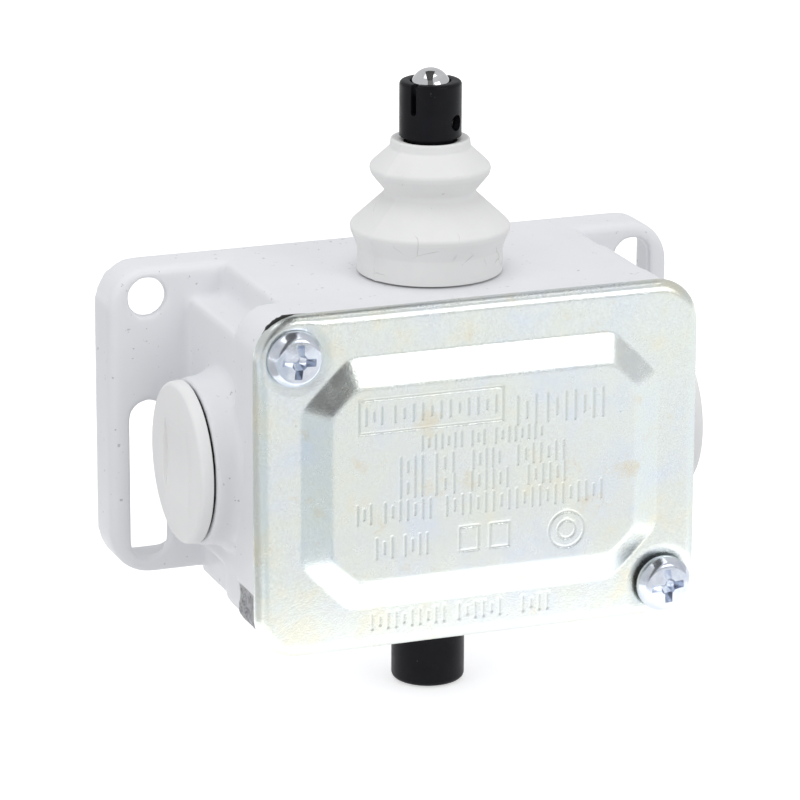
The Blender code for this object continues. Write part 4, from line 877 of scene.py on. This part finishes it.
def inside_edge(x, z):
    """How far a point lies inside the cover's outline."""
    qx = abs(x) - COVER_HALF.x + COVER_CORNER
    qz = abs(z - MIDDLE_Z) - COVER_HALF.z + COVER_CORNER
    outside = np.hypot(np.maximum(qx, 0), np.maximum(qz, 0))
    return COVER_CORNER - outside - np.minimum(np.maximum(qx, qz), 0)


def press_height(x, z):
    """How far the cover's front stands out of its plane, dents and engraving included."""
    slope = up_the_slope(x, z)
    height = PANEL_RAISE * (soft_ramp(slope, CREASE_FOOT) - soft_ramp(slope - 1, CREASE_EDGE))
    inside = np.clip(inside_edge(x, z), 0, COVER_BEND)
    height -= COVER_BEND - np.sqrt(COVER_BEND**2 - (COVER_BEND - inside) ** 2)
    for screw in SCREW_AT.values():
        away = np.hypot(x - screw.x, z - screw.z)
        height -= DISH_DEPTH * (1 - smoothstep(DISH_FLAT, DISH_RIM, away))
    away = np.hypot(x - DENT.x, z - DENT.z)
    height -= DENT_DEPTH * np.exp(-((away / DENT_RADIUS) ** 2))
    height += DENT_LIP * np.exp(-(((away - DENT_LIP_RADIUS) / DENT_LIP_WIDTH) ** 2))
    height -= SCRIBE_DEPTH * (1 - smoothstep(0.06 * MM, 0.32 * MM, to_marks(x, z)))
    scratched = 1 - smoothstep(0.05 * MM, 0.25 * MM, to_lines(x, z, SCRATCHES))
    height -= SCRATCH_DEPTH * scratched
    height += WAVE_HEIGHT * np.sin(x / WAVE_X + 1.0) * np.cos(z / WAVE_Z)
    return height


def crowd_rows(offset, half):
    """Moves the outer rows of the grid together, so that they follow the bend evenly."""
    inset = half - abs(offset)
    turn = np.clip(1 - inset / COVER_BEND, 0, 1) * pi / 2
    moved = np.where(inset < COVER_BEND, COVER_BEND * (1 - np.sin(turn)), inset)
    return np.sign(offset) * (half - moved)


def round_corners(x, z):
    """Pulls the grid's square corners in to the cover's round ones."""
    p = (abs(x) - COVER_HALF.x + COVER_CORNER) / COVER_CORNER
    q = (abs(z) - COVER_HALF.z + COVER_CORNER) / COVER_CORNER
    corner = (p > 0) & (q > 0)
    reach = np.maximum(p, q)
    lower = np.minimum(p, q) / np.where(reach > 0, reach, 1)
    angle = np.where(p >= q, lower * pi / 4, pi / 2 - lower * pi / 4)
    new_x = COVER_HALF.x + COVER_CORNER * (reach * np.cos(angle) - 1)
    new_z = COVER_HALF.z + COVER_CORNER * (reach * np.sin(angle) - 1)
    return np.where(corner, np.sign(x) * new_x, x), np.where(corner, np.sign(z) * new_z, z)


def select_faces(piece, chosen):
    """Enters edit mode with only the faces selected whose middles pass the test."""
    flat = np.empty(len(piece.data.polygons) * 3, np.float32)
    piece.data.polygons.foreach_get("center", flat)
    middles = flat.reshape(-1, 3).astype(float)
    wanted = chosen(middles[:, 0], middles[:, 2])
    pick(piece)
    bpy.ops.object.mode_set(mode="EDIT")
    bpy.ops.mesh.select_mode(type="FACE")
    bpy.ops.mesh.select_all(action="DESELECT")
    mesh = bmesh.from_edit_mesh(piece.data)
    for face, wants in zip(mesh.faces, wanted):
        face.select_set(bool(wants))
    bmesh.update_edit_mesh(piece.data)


def refine(piece, chosen, cuts):
    """Subdivides the faces whose middles pass the test."""
    select_faces(piece, chosen)
    bpy.ops.mesh.subdivide(number_cuts=cuts)
    bpy.ops.object.mode_set(mode="OBJECT")


def punch(piece, x, z, radius):
    """A round hole in the sheet: the faces inside it go, and its edge is drawn to a circle."""
    select_faces(piece, lambda face_x, face_z: np.hypot(face_x - x, face_z - z) < radius)
    bpy.ops.mesh.delete(type="FACE")
    mesh = bmesh.from_edit_mesh(piece.data)
    for vert in mesh.verts:
        away = hypot(vert.co.x - x, vert.co.z - z)
        if vert.is_boundary and away < 2 * radius:
            vert.co.x = x + (vert.co.x - x) * radius / away
            vert.co.z = z + (vert.co.z - z) * radius / away
    bmesh.update_edit_mesh(piece.data)
    bpy.ops.object.mode_set(mode="OBJECT")


def make_cover():
    """Pressed sheet: a grid, denser at creases and marks, pressed and given its thickness."""
    deselect()
    columns, rows = round(2 * COVER_HALF.x / COVER_STEP), round(2 * COVER_HALF.z / COVER_STEP)
    bpy.ops.mesh.primitive_grid_add(
        x_subdivisions=columns,
        y_subdivisions=rows,
        size=1,
        location=(0, COVER_FRONT, MIDDLE_Z),
        rotation=(pi / 2, 0, 0),
    )
    cover = settle("front_cover", (2 * COVER_HALF.x, 2 * COVER_HALF.z, 1))

    def near_crease(x, z):
        slope = up_the_slope(x, z)
        return (abs(slope) < 0.16) | (abs(slope - 1) < 0.22) | (inside_edge(x, z) < COVER_BEND)

    for screw in SCREW_AT.values():
        punch(cover, screw.x, screw.z, COVER_SCREW_BORE / 2)
    refine(cover, near_crease, 1)
    refine(cover, lambda x, z: to_marks(x, z) < 0.55 * MM, 2)
    points = points_of(cover)
    x = crowd_rows(points[:, 0], COVER_HALF.x)
    z = crowd_rows(points[:, 2] - MIDDLE_Z, COVER_HALF.z)
    x, z = round_corners(x, z)
    points[:, 0], points[:, 2] = x, z + MIDDLE_Z
    points[:, 1] = COVER_FRONT - press_height(points[:, 0], points[:, 2])
    move_points(cover, points)
    # Mask of the engraved grooves, read by the zinc material to paint shade into them.
    mark = cover.data.attributes.new("groove_shade", "FLOAT", "POINT")
    groove_shade = 1 - smoothstep(0.08 * MM, 0.30 * MM, to_marks(points[:, 0], points[:, 2]))
    mark.data.foreach_set("value", groove_shade.astype(np.float32))
    add_step(cover, "SOLIDIFY", thickness=SHEET, offset=-1)
    shade(cover, 50)
    return dress(cover, "zinc_sheet", "case", "cover")


def make_gasket():
    """Cut rubber sheet under the cover, pushed out past one corner."""
    back, front = RIM_FRONT - 0.1 * MM, RIM_FRONT - 1.1 * MM
    half_x, half_z = RIM_WIDTH / 2 - 0.3 * MM, (TOP - BOTTOM) / 2 - 0.3 * MM
    low, high = (-half_x, front, MIDDLE_Z - half_z), (half_x, back, MIDDLE_Z + half_z)
    gasket = block("gasket_sheet", low, high)

    def other_corners(a, b):
        return runs_along_y(a, b) and (a.x > 0 or a.z < 0) and abs(a.x) > half_x - MM

    round_edges(gasket, lambda a, b: runs_along_y(a, b) and a.x < 0 < a.z, 5.2 * MM)
    round_edges(gasket, other_corners, 5.6 * MM)
    inner_x, inner_z = half_x - GASKET_WIDTH, half_z - GASKET_WIDTH
    low = (-inner_x, front - MM, MIDDLE_Z - inner_z)
    high = (inner_x, back + MM, MIDDLE_Z + inner_z)
    cut(gasket, rounded_block("opening", low, high, 3 * MM))
    for screw in SCREW_AT.values():
        join(gasket, bar("eye", EYE_RADIUS, screw.x, screw.z, back, front, 48))
        cut(gasket, bar("hole", EYE_HOLE_RADIUS, screw.x, screw.z, back + MM, front - MM))
    add_step(gasket, "REMESH", mode="VOXEL", voxel_size=0.3 * MM)
    points = points_of(gasket)
    across = (points[:, 0] + half_x - 5 * MM) / (11 * MM)
    below = (points[:, 2] - TOP) / (8 * MM)
    corner = np.exp(-(across**2) - below**2)
    points[:, 0] -= CORNER_OUT * corner
    points[:, 2] += CORNER_UP * corner
    points[:, 1] -= 0.02 * MM * np.sin(points[:, 0] / (3 * MM))
    move_points(gasket, points)
    shade(gasket, 40)
    return dress(gasket, "black_rubber", "case", "cover_gasket")


# ---------------------------------------------------------------- screws and plugs
def threaded(profile_top, radius, start, end, pitch):
    """Ridges down a screw's shank, as profile points after those given."""
    points, height = list(profile_top), start
    while height - pitch > end:
        points += [(radius, height), (radius, height - pitch * 0.15)]
        points.append((radius - pitch * 0.45, height - pitch * 0.5))
        height -= pitch
    return [*points, (radius - pitch * 0.4, height), (radius - 0.6 * MM, end), (0, end)]


SCREW_HEAD, SCREW_RADIUS, SCREW_LENGTH, SCREW_PITCH = 2.6 * MM, 2 * MM, 9 * MM, 0.7 * MM
RECESS_REACH, RECESS_HALF, RECESS_DEPTH = 3.5 * MM, 0.72 * MM, 2.0 * MM


def make_cover_screw(name, node, side, lift, turn):
    """Pan-head screw with a cross recess, its arms tapering into the head."""
    low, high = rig.box(node)
    top, rim = SCREW_HEAD, (high.x - low.x) / 2
    crown = filleted(
        [
            (0, top),
            (1.2 * MM, top, 3 * MM),
            (rim - 0.95 * MM, top * 0.86, 1.1 * MM),
            (rim, top * 0.34, 0.9 * MM),
            (rim - 0.05 * MM, 0.05 * MM, 0.1 * MM),
            (rim - 0.3 * MM, 0),
            (SCREW_RADIUS, 0, 0.1 * MM),
        ]
    )
    profile = threaded(crown, SCREW_RADIUS, -0.4 * MM, -SCREW_LENGTH, SCREW_PITCH)
    screw = spun(name, profile, steps=72)
    low_corner = (-RECESS_REACH, -RECESS_HALF, top - RECESS_DEPTH)
    high_corner = (RECESS_REACH, RECESS_HALF, top + MM)
    for quarter in range(2):
        arm = block("recess", low_corner, high_corner)
        edit_edges(arm, lambda a, b: max(a.z, b.z) < top)
        bpy.ops.transform.resize(value=(0.5, 0.7, 1), center_override=(0, 0, 0))
        bpy.ops.object.mode_set(mode="OBJECT")
        cut(screw, place(arm, (0, 0, 0), (0, 0, quarter * pi / 2)))
    cut(screw, drum("well", 0.55 * MM, (0, 0, top - 2.2 * MM), (0, 0, top + MM), 32, 1.75 * MM))
    under = SCREW_AT[side] + Vector((0, low.y + top - lift, 0))
    place(screw, under, (pi / 2, turn, 0))
    shade(screw, 38)
    return dress(screw, "zinc_screw", "case", node)


FLANGE, STEM, STEM_LENGTH = 2.1 * MM, 10.2 * MM, 7 * MM
RIB, RIB_PITCH, RIB_START = 0.6 * MM, 1.4 * MM, 0.8 * MM
BAND_HALF, BAND_DEPTH = 6.25 * MM, 0.8 * MM
BAND_ARC, BAND_REACH = 16 * MM, 6.7 * MM
BAND_OFFSET = BAND_ARC - BAND_REACH
TEETH, TOOTH_PITCH = 8, radians(5.5)


def grip_band(rim):
    """What is sunk into the plug's face: a lens between two arcs, its floor a shallow bow."""
    low, high, floor = FLANGE - 3 * BAND_DEPTH, FLANGE + 2 * MM, FLANGE - BAND_DEPTH
    start, end = (0, BAND_OFFSET, low + BAND_DEPTH), (0, BAND_OFFSET, high - MM)
    band = drum("band", BAND_ARC, start, end, 256)
    other = drum("band", BAND_ARC, (0, -BAND_OFFSET, low), (0, -BAND_OFFSET, high), 256)
    bow = (BAND_HALF**2 + BAND_DEPTH**2) / (2 * BAND_DEPTH)
    limit = drum("limit", bow, (0, -rim, floor + bow), (0, rim, floor + bow), 256)
    return combine(band, [other, limit], "INTERSECT")


def make_plug(side, word):
    """Blanking plug: soft-edged flange, sunk grip band between two arcs, ribbed stem."""
    node = f"cable_plug_{word}"
    low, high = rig.box(node)
    rim = (high.z - low.z) / 2
    profile = filleted(
        [
            (0, FLANGE),
            (rim - 0.2 * MM, FLANGE, 0.8 * MM),
            (rim, 0.1 * MM, 0.25 * MM),
            (rim - 0.5 * MM, 0),
        ]
    )
    profile.append((STEM, 0))
    height = -RIB_START
    while height > RIB_START - STEM_LENGTH:
        profile += [(STEM, height), (STEM, height - 0.2 * MM), (STEM - RIB, height - RIB_PITCH / 2)]
        height -= RIB_PITCH
    tube = STEM - 3 * RIB
    profile += [(STEM - RIB, -STEM_LENGTH), (tube, -STEM_LENGTH), (tube, -MM), (0, -MM)]
    plug = spun(f"entry_plug_{word}", profile, steps=128)
    cut(plug, grip_band(rim))
    for k in range(-TEETH // 2, TEETH // 2):
        angle = pi / 2 + k * TOOTH_PITCH
        at = Vector((cos(angle), sin(angle), 0)) * (rim + 0.05 * MM)
        start, end = at + Vector((0, 0, 0.5 * MM)), at + Vector((0, 0, FLANGE + MM))
        cut(plug, drum("tooth", 0.5 * MM, start, end, 16))
    edit_edges(plug, band_edge)
    bpy.ops.mesh.bevel(offset=0.14 * MM, segments=2, affect="EDGES", clamp_overlap=True)
    bpy.ops.object.mode_set(mode="OBJECT")
    face = (side * (max(abs(low.x), abs(high.x)) - FLANGE), AXIS.y, ENTRY_Z)
    place(plug, face, (0, side * pi / 2, 0))
    shade(plug, 40)
    return dress(plug, "grey_plastic", "case", node)


def band_edge(a, b):
    """Whether an edge is on one of the two arcs that end the plug's sunk band."""
    level = abs(a.z - FLANGE) < 1e-6 and abs(b.z - FLANGE) < 1e-6
    off_arc = [abs(hypot(v.x, abs(v.y) + BAND_OFFSET) - BAND_ARC) for v in (a, b)]
    return level and max(off_arc) < 0.02 * MM


def make_plug_seal(side, word):
    node = f"plug_seal_{word}"
    low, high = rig.box(node)
    middle = Vector(((low.x + high.x) / 2, AXIS.y, ENTRY_Z))
    inner, outer = ENTRY_BORE / 2, SEAL_RADIUS
    half = (high.x - low.x) / 2 + 0.15 * MM
    corners = [(outer, half, 0.25 * MM), (outer, -half, 0.25 * MM)]
    section = [(inner, half), *corners, (inner, -half), (inner, half)]
    seal = spun(f"entry_seal_{word}", filleted(section), middle, (0, side * pi / 2, 0), steps=128)
    return dress(seal, "black_rubber", "case", node)


# ---------------------------------------------------------------- plunger
def boot_profile():
    """Outline of the bellows from its collar down outside, and back up inside."""
    top = boot_high.z - TOP
    outside = [
        (5.6 * MM, top - 0.1 * MM),
        (6.35 * MM, top, 0.35 * MM),
        (6.55 * MM, top - 1.5 * MM, 0.6 * MM),
        (9.85 * MM, 17.35 * MM, 1.5 * MM),
        (9.55 * MM, 16.3 * MM, 1.2 * MM),
        (7.05 * MM, 13.2 * MM, 1.0 * MM),
        (12.95 * MM, 7.75 * MM, 1.2 * MM),
        (12.8 * MM, 6.9 * MM, 0.6 * MM),
        (11.7 * MM, 4.3 * MM, 0.8 * MM),
        (11.75 * MM, 0.3 * MM, 0.15 * MM),
    ]
    inside = [
        (9.4 * MM, 0.3 * MM),
        (9.4 * MM, 3.6 * MM, 0.4 * MM),
        (10.5 * MM, 6.9 * MM, 0.8 * MM),
        (5.9 * MM, 12.9 * MM, 0.8 * MM),
        (7.9 * MM, 16.8 * MM, 0.9 * MM),
        (5.35 * MM, 18.7 * MM, 0.3 * MM),
        (5.35 * MM, 19.3 * MM),
        (4.25 * MM, 19.4 * MM, 0.1 * MM),
        (4.25 * MM, top - 0.5 * MM, 0.2 * MM),
        (5.6 * MM, top - 0.1 * MM),
    ]
    return filleted([*outside, *inside], 7)


def make_boot():
    """Rubber bellows with its mould's two parting lines. It folds as the plunger goes in."""
    boot = spun("bellows", boot_profile(), (0, AXIS.y, TOP), steps=BOOT_STEPS)
    points = points_of(boot)
    x, y = points[:, 0], points[:, 1] - AXIS.y
    around, radius = np.arctan2(y, x), np.hypot(x, y)
    for seam in (PARTING_TURN - pi, PARTING_TURN):
        away = abs((around - seam + pi) % tau - pi) * radius
        push = PARTING_RIDGE * (1 - smoothstep(0.1 * MM, 0.6 * MM, away)) * (radius > 6 * MM)
        points[:, 0] += push * np.cos(around)
        points[:, 1] += push * np.sin(around)
    sag = BOOT_SAG * np.sin(3 * around + 0.7)
    sag *= smoothstep(TOP + 3 * MM, TOP + 8 * MM, points[:, 2])
    sag *= 1 - smoothstep(boot_high.z - 4 * MM, boot_high.z - 1 * MM, points[:, 2])
    points[:, 2] += sag
    move_points(boot, points)
    boot.data.materials.append(MATERIALS["white_rubber"])
    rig.slot(boot, "white_rubber")
    foot, collar = (0, AXIS.y, TOP + 4.6 * MM), (0, AXIS.y, boot_high.z - 2.4 * MM)
    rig.blend(boot, "case", "plunger", foot, collar)
    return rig.replaces(boot, "plunger_boot")


def make_head():
    """Slotted black cap with a socket for the ball and a cross hole for its pin."""
    r, top, base = HEAD_RADIUS, head_high.z, head_low.z
    socket, centre = BALL_RADIUS + 0.12 * MM, (ball_low.z + ball_high.z) / 2
    groove_top, groove_low = top - 9.0 * MM, top - 11.7 * MM
    profile = filleted(
        [
            (socket - 0.05 * MM, top - 0.1 * MM),
            (socket + 0.35 * MM, top, 0.12 * MM),
            (r, top, 0.85 * MM),
            (r, groove_top, 0.15 * MM),
            (r - 1.1 * MM, groove_top),
            (r - 1.1 * MM, groove_low),
            (r, groove_low),
            (r, base, 0.3 * MM),
            (3.3 * MM, base),
            (3.3 * MM, centre - BALL_RADIUS),
            (socket, centre - BALL_RADIUS + 0.2 * MM),
            (socket - 0.05 * MM, top - 0.1 * MM),
        ]
    )
    head = spun("plunger_cap", profile, AXIS, steps=128)
    floor = top - SLIT_DEPTH + SLIT / 2
    slit = block("slit", (-2 * r, -SLIT / 2, floor), (2 * r, SLIT / 2, top + MM))
    end = drum("slit_end", SLIT / 2, (-2 * r, 0, floor), (2 * r, 0, floor), 24)
    for cutter in (slit, end):
        cutter.location, cutter.rotation_euler = AXIS, (0, 0, SLIT_TURN)
        cut(head, cutter)
    way = Vector((sin(SLIT_TURN), -cos(SLIT_TURN), 0))
    middle = AXIS + Vector((0, 0, top - PIN_DROP))
    cut(head, drum("hole", PIN_HOLE / 2, middle - way * 2 * r, middle + way * 2 * r, 32))
    shade(head, 40)
    dress(head, "black_plastic", "plunger", "plunger_head")

    reach = HEAD_RADIUS - PIN_SINK
    ends = [(PIN_RADIUS, reach, 0.25 * MM), (PIN_RADIUS, -reach, 0.25 * MM)]
    turn = way.to_track_quat("Z", "Y").to_euler()
    pin = spun("cap_pin", filleted([(0, reach), *ends, (0, -reach)]), middle, turn, steps=32)
    dress(pin, "bright_steel", "plunger", "cross_pin")


def make_ball():
    """Polished ball: a cube rounded to a sphere, with the faint track that its cam wears in it."""
    centre = Vector((ball_low + ball_high) / 2)
    deselect()
    bpy.ops.mesh.primitive_cube_add(size=2 * BALL_RADIUS, location=(0, 0, 0))
    ball = settle("tip_ball")
    bpy.ops.object.mode_set(mode="EDIT")
    bpy.ops.mesh.select_all(action="SELECT")
    bpy.ops.mesh.subdivide(number_cuts=31)
    bpy.ops.object.mode_set(mode="OBJECT")
    points = points_of(ball)
    points *= BALL_RADIUS / np.linalg.norm(points, axis=1)[:, None]
    worn = np.exp(-((points[:, 0] / TRACK_HALF) ** 2))
    points *= (1 - TRACK_SHARE * worn)[:, None]
    move_points(ball, points + np.array(centre))
    shade(ball, 60)
    return dress(ball, "chrome_steel", "ball", "steel_ball")


def make_lower_cap():
    """Closed guide cap under the case, with the mark of its moulding gate."""
    r, low = CAP_RADIUS, cap_low.z
    shoulder = BOTTOM - 0.1 * MM
    profile = filleted(
        [
            (4.4 * MM, cap_high.z),
            (5.3 * MM, cap_high.z, 0.3 * MM),
            (5.3 * MM, shoulder),
            (r - 0.3 * MM, shoulder),
            (r, shoulder - 0.3 * MM),
            (r, low, 0.95 * MM),
            (1.6 * MM, low, 0.1 * MM),
            (1.4 * MM, low + 0.3 * MM, 0.1 * MM),
            (0, low + 0.3 * MM),
            (0, low + 1.6 * MM),
            (4.4 * MM, low + 1.6 * MM, 0.4 * MM),
            (4.4 * MM, cap_high.z),
        ]
    )
    cap = spun("guide_cap", profile, AXIS, steps=128)
    return dress(cap, "black_plastic", "case", "lower_guide_cap")


def make_coil(name, node, slot, wire, turns, bodies, per_turn=32):
    """Compression spring with closed, flat ends, bent between the two bodies it pushes apart."""
    low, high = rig.box(node)
    radius = (high.x - low.x - wire) / 2
    middle = Vector(((low.x + high.x) / 2, (low.y + high.y) / 2, 0))
    rise = high.z - low.z - wire
    curve = bpy.data.curves.new(name, "CURVE")
    curve.dimensions = "3D"
    curve.bevel_depth = wire / 2
    curve.bevel_resolution = 3
    curve.use_fill_caps = True
    spline = curve.splines.new("POLY")
    count = turns * per_turn + 1
    spline.points.add(count - 1)
    for i, point in enumerate(spline.points):
        wound = i / per_turn
        lift = min(max((wound - 0.75) / (turns - 1.5), 0), 1)
        flat = wire * (min(wound, 0.75) + max(wound - turns + 0.75, 0))
        height = low.z + wire / 2 + flat + lift * (rise - 1.5 * wire)
        x, y = middle.x + radius * cos(tau * wound), middle.y + radius * sin(tau * wound)
        point.co = (x, y, height, 1)
    spring = bpy.data.objects.new(name, curve)
    bpy.context.scene.collection.objects.link(spring)
    pick(spring)
    bpy.ops.object.convert(target="MESH")
    bpy.ops.object.mode_set(mode="EDIT")
    bpy.ops.mesh.select_all(action="SELECT")
    bpy.ops.mesh.remove_doubles(threshold=1e-6)
    bpy.ops.mesh.normals_make_consistent(inside=False)
    bpy.ops.object.mode_set(mode="OBJECT")
    spring = shade(bpy.context.object, 60)
    spring.data.materials.clear()
    spring.data.materials.append(MATERIALS[slot])
    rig.slot(spring, slot)
    start, end = (middle.x, middle.y, low.z + wire), (middle.x, middle.y, high.z - wire)
    if bodies[0] == "plunger":
        start, end = end, start
    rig.blend(spring, *bodies, start, end)
    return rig.replaces(spring, node)


# ---------------------------------------------------------------- studio
ROOM_GLOW, FLOOR_GLOW = 0.66, 0.55
KEY_POWER, TOP_POWER, SIDE_POWER = 2.3, 3.8, 1.2


def soft_light(name, at, size, power):
    deselect()
    aim = Vector((0, AXIS.y, 0)) - Vector(at)
    turn = aim.to_track_quat("-Z", "Y").to_euler()
    bpy.ops.object.light_add(type="AREA", location=at, rotation=turn)
    light = bpy.context.object
    light.name = name
    light.data.shape = "RECTANGLE"
    light.data.size, light.data.size_y = size
    light.data.energy = power
    return light


def make_studio():
    """Pale floor, white room, soft lights and the cards that polished metal mirrors."""
    deselect()
    bpy.ops.mesh.primitive_circle_add(
        vertices=64, radius=6, fill_type="NGON", location=(0, 0, cad_low.z - 0.2 * MM)
    )
    floor = settle("studio_floor")
    floor.visible_diffuse = False
    material, tree, shader, coords = new_material("floor_paper", 0.9)
    paper = ramp(tree, blotches(tree, coords, 300 * MM), (0.3, 0.86), (0.7, 0.88))
    tree.links.new(paper, shader.inputs["Base Color"])
    shader.inputs["Emission Color"].default_value = (1, 1, 1, 1)
    shader.inputs["Emission Strength"].default_value = FLOOR_GLOW
    floor.data.materials.append(material)
    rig.stage(floor)

    world = bpy.data.worlds.new("white_room")
    bpy.context.scene.world = world
    world.use_nodes = True
    background = world.node_tree.nodes["Background"]
    background.inputs["Color"].default_value = (0.975, 0.985, 1.0, 1)
    background.inputs["Strength"].default_value = ROOM_GLOW

    soft_light("key_light", (0.50, -1.05, 0.62), (0.55, 0.5), KEY_POWER)
    soft_light("top_light", (-0.1, -0.1, 1.1), (0.9, 0.9), TOP_POWER)
    soft_light("side_light", (-1.0, -0.35, 0.25), (0.5, 0.6), SIDE_POWER).visible_glossy = False
    make_mirror_cards()


CAMERA_PLACE = Vector((-274.45 * MM, -735.19 * MM, 233.76 * MM))
CAMERA_YAW, CAMERA_DIP, CAMERA_ROLL = radians(-20.7625), radians(16.7843), radians(0.1997)
CAMERA_LENS, CAMERA_SENSOR = 220.83, 36.0


def mirror_card(name, low, high, glow, colour=(1, 1, 1)):
    """A card that only polished metal shows: it lights nothing, and the camera sees past it."""
    deselect()
    low, high = Vector(low), Vector(high)
    bpy.ops.mesh.primitive_plane_add(size=1, location=(low + high) / 2)
    card = settle(name, high - low)
    card.visible_camera = card.visible_diffuse = card.visible_shadow = False
    material, tree, shader, coords = new_material(name, 1.0)
    brightness = ramp(tree, blotches(tree, coords, 60 * MM), (0.3, glow * 0.97), (0.7, glow * 1.03))
    tinted = mix(tree, 1.0, brightness, colour, "MULTIPLY")
    tree.links.new(tinted, shader.inputs["Emission Color"])
    shader.inputs["Base Color"].default_value = (0, 0, 0, 1)
    shader.inputs["Emission Strength"].default_value = 1.0
    card.data.materials.append(material)
    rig.stage(card)
    return card


def make_mirror_cards():
    """What the pressed cover mirrors: the table, a far wall, a ceiling and a dark camera."""
    height = cad_low.z + 2 * MM
    front, cool, pale = -0.70, (0.93, 1.0, 1.05), (0.97, 1.0, 1.02)
    mirror_card("table_front", (-0.02, front, height), (0.085, -0.092, height), 0.87)
    mirror_card("table_side", (-0.70, -0.091, height), (-0.08, 0.30, height), 0.55)
    mirror_card("table_left", (-0.45, front, height), (-0.021, -0.092, height), 0.70, cool)
    mirror_card("table_right", (0.086, front, height), (0.60, 0.10, height), 0.97, pale)
    horizon = mirror_card("far_wall", (-0.35, -0.08, 0), (0.35, 0.08, 0), 0.42)
    horizon.location, horizon.rotation_euler = (0.32, -0.93, 0.07), (pi / 2, 0, 0.35)
    ceiling = mirror_card("ceiling_gap", (-0.26, -0.75, 0), (0.26, 0.55, 0), 0.06)
    ceiling.location, ceiling.rotation_euler = (-0.05, -0.05, 0.85), (0, 0, CAMERA_YAW)
    camera = mirror_card("camera_shape", (-0.24, -0.20, 0), (0.24, 0.62, 0), 0.16)
    camera.location = CAMERA_PLACE * 1.02
    camera.rotation_euler = CAMERA_PLACE.to_track_quat("Z", "Y").to_euler()


def make_camera():
    deselect()
    bpy.ops.object.camera_add()
    camera = bpy.context.object
    camera.name = "camera"
    turn = Matrix.Rotation(CAMERA_YAW, 4, "Z") @ Matrix.Rotation(pi / 2 - CAMERA_DIP, 4, "X")
    turn = turn @ Matrix.Rotation(CAMERA_ROLL, 4, "Z")
    camera.matrix_world = Matrix.Translation(CAMERA_PLACE) @ turn
    camera.data.lens = CAMERA_LENS
    camera.data.sensor_width = CAMERA_SENSOR
    camera.data.clip_start = 0.01
    bpy.context.scene.camera = camera
    bpy.context.scene.view_settings.view_transform = "Standard"


def dress_inner_pieces():
    """The frame's own solids that stay take the finish of their slot in the record."""
    for entry in frame["record"]["subparts"]:
        node = frame["nodes"][entry["node"]]
        if not node.hide_render:
            node.data.materials.clear()
            node.data.materials.append(MATERIALS[entry["material_slot"]])
            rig.slot(node, entry["material_slot"])


# ---------------------------------------------------------------- assembly
make_camera()
make_case()
make_cover()
make_gasket()
make_cover_screw("cover_screw_top_left", "cover_screw_upper", -1, -0.5 * MM, radians(5))
make_cover_screw("cover_screw_low_right", "cover_screw_lower", 1, 0.0, radians(-4))
for side, word in ((-1, "left"), (1, "right")):
    make_plug(side, word)
    make_plug_seal(side, word)
make_boot()
make_head()
make_ball()
make_lower_cap()
make_coil("lift_spring", "return_spring", "spring_steel", 0.8 * MM, 7, ("case", "plunger"))
make_coil("bridge_spring", "contact_spring", "spring_steel", 0.5 * MM, 4, ("plunger", "bridge"))
dress_inner_pieces()
make_studio()

low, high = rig.bounds()
with open("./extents.json", "w") as file:
    json.dump({"cad": [list(cad_low), list(cad_high)], "visual": [list(low), list(high)]}, file)
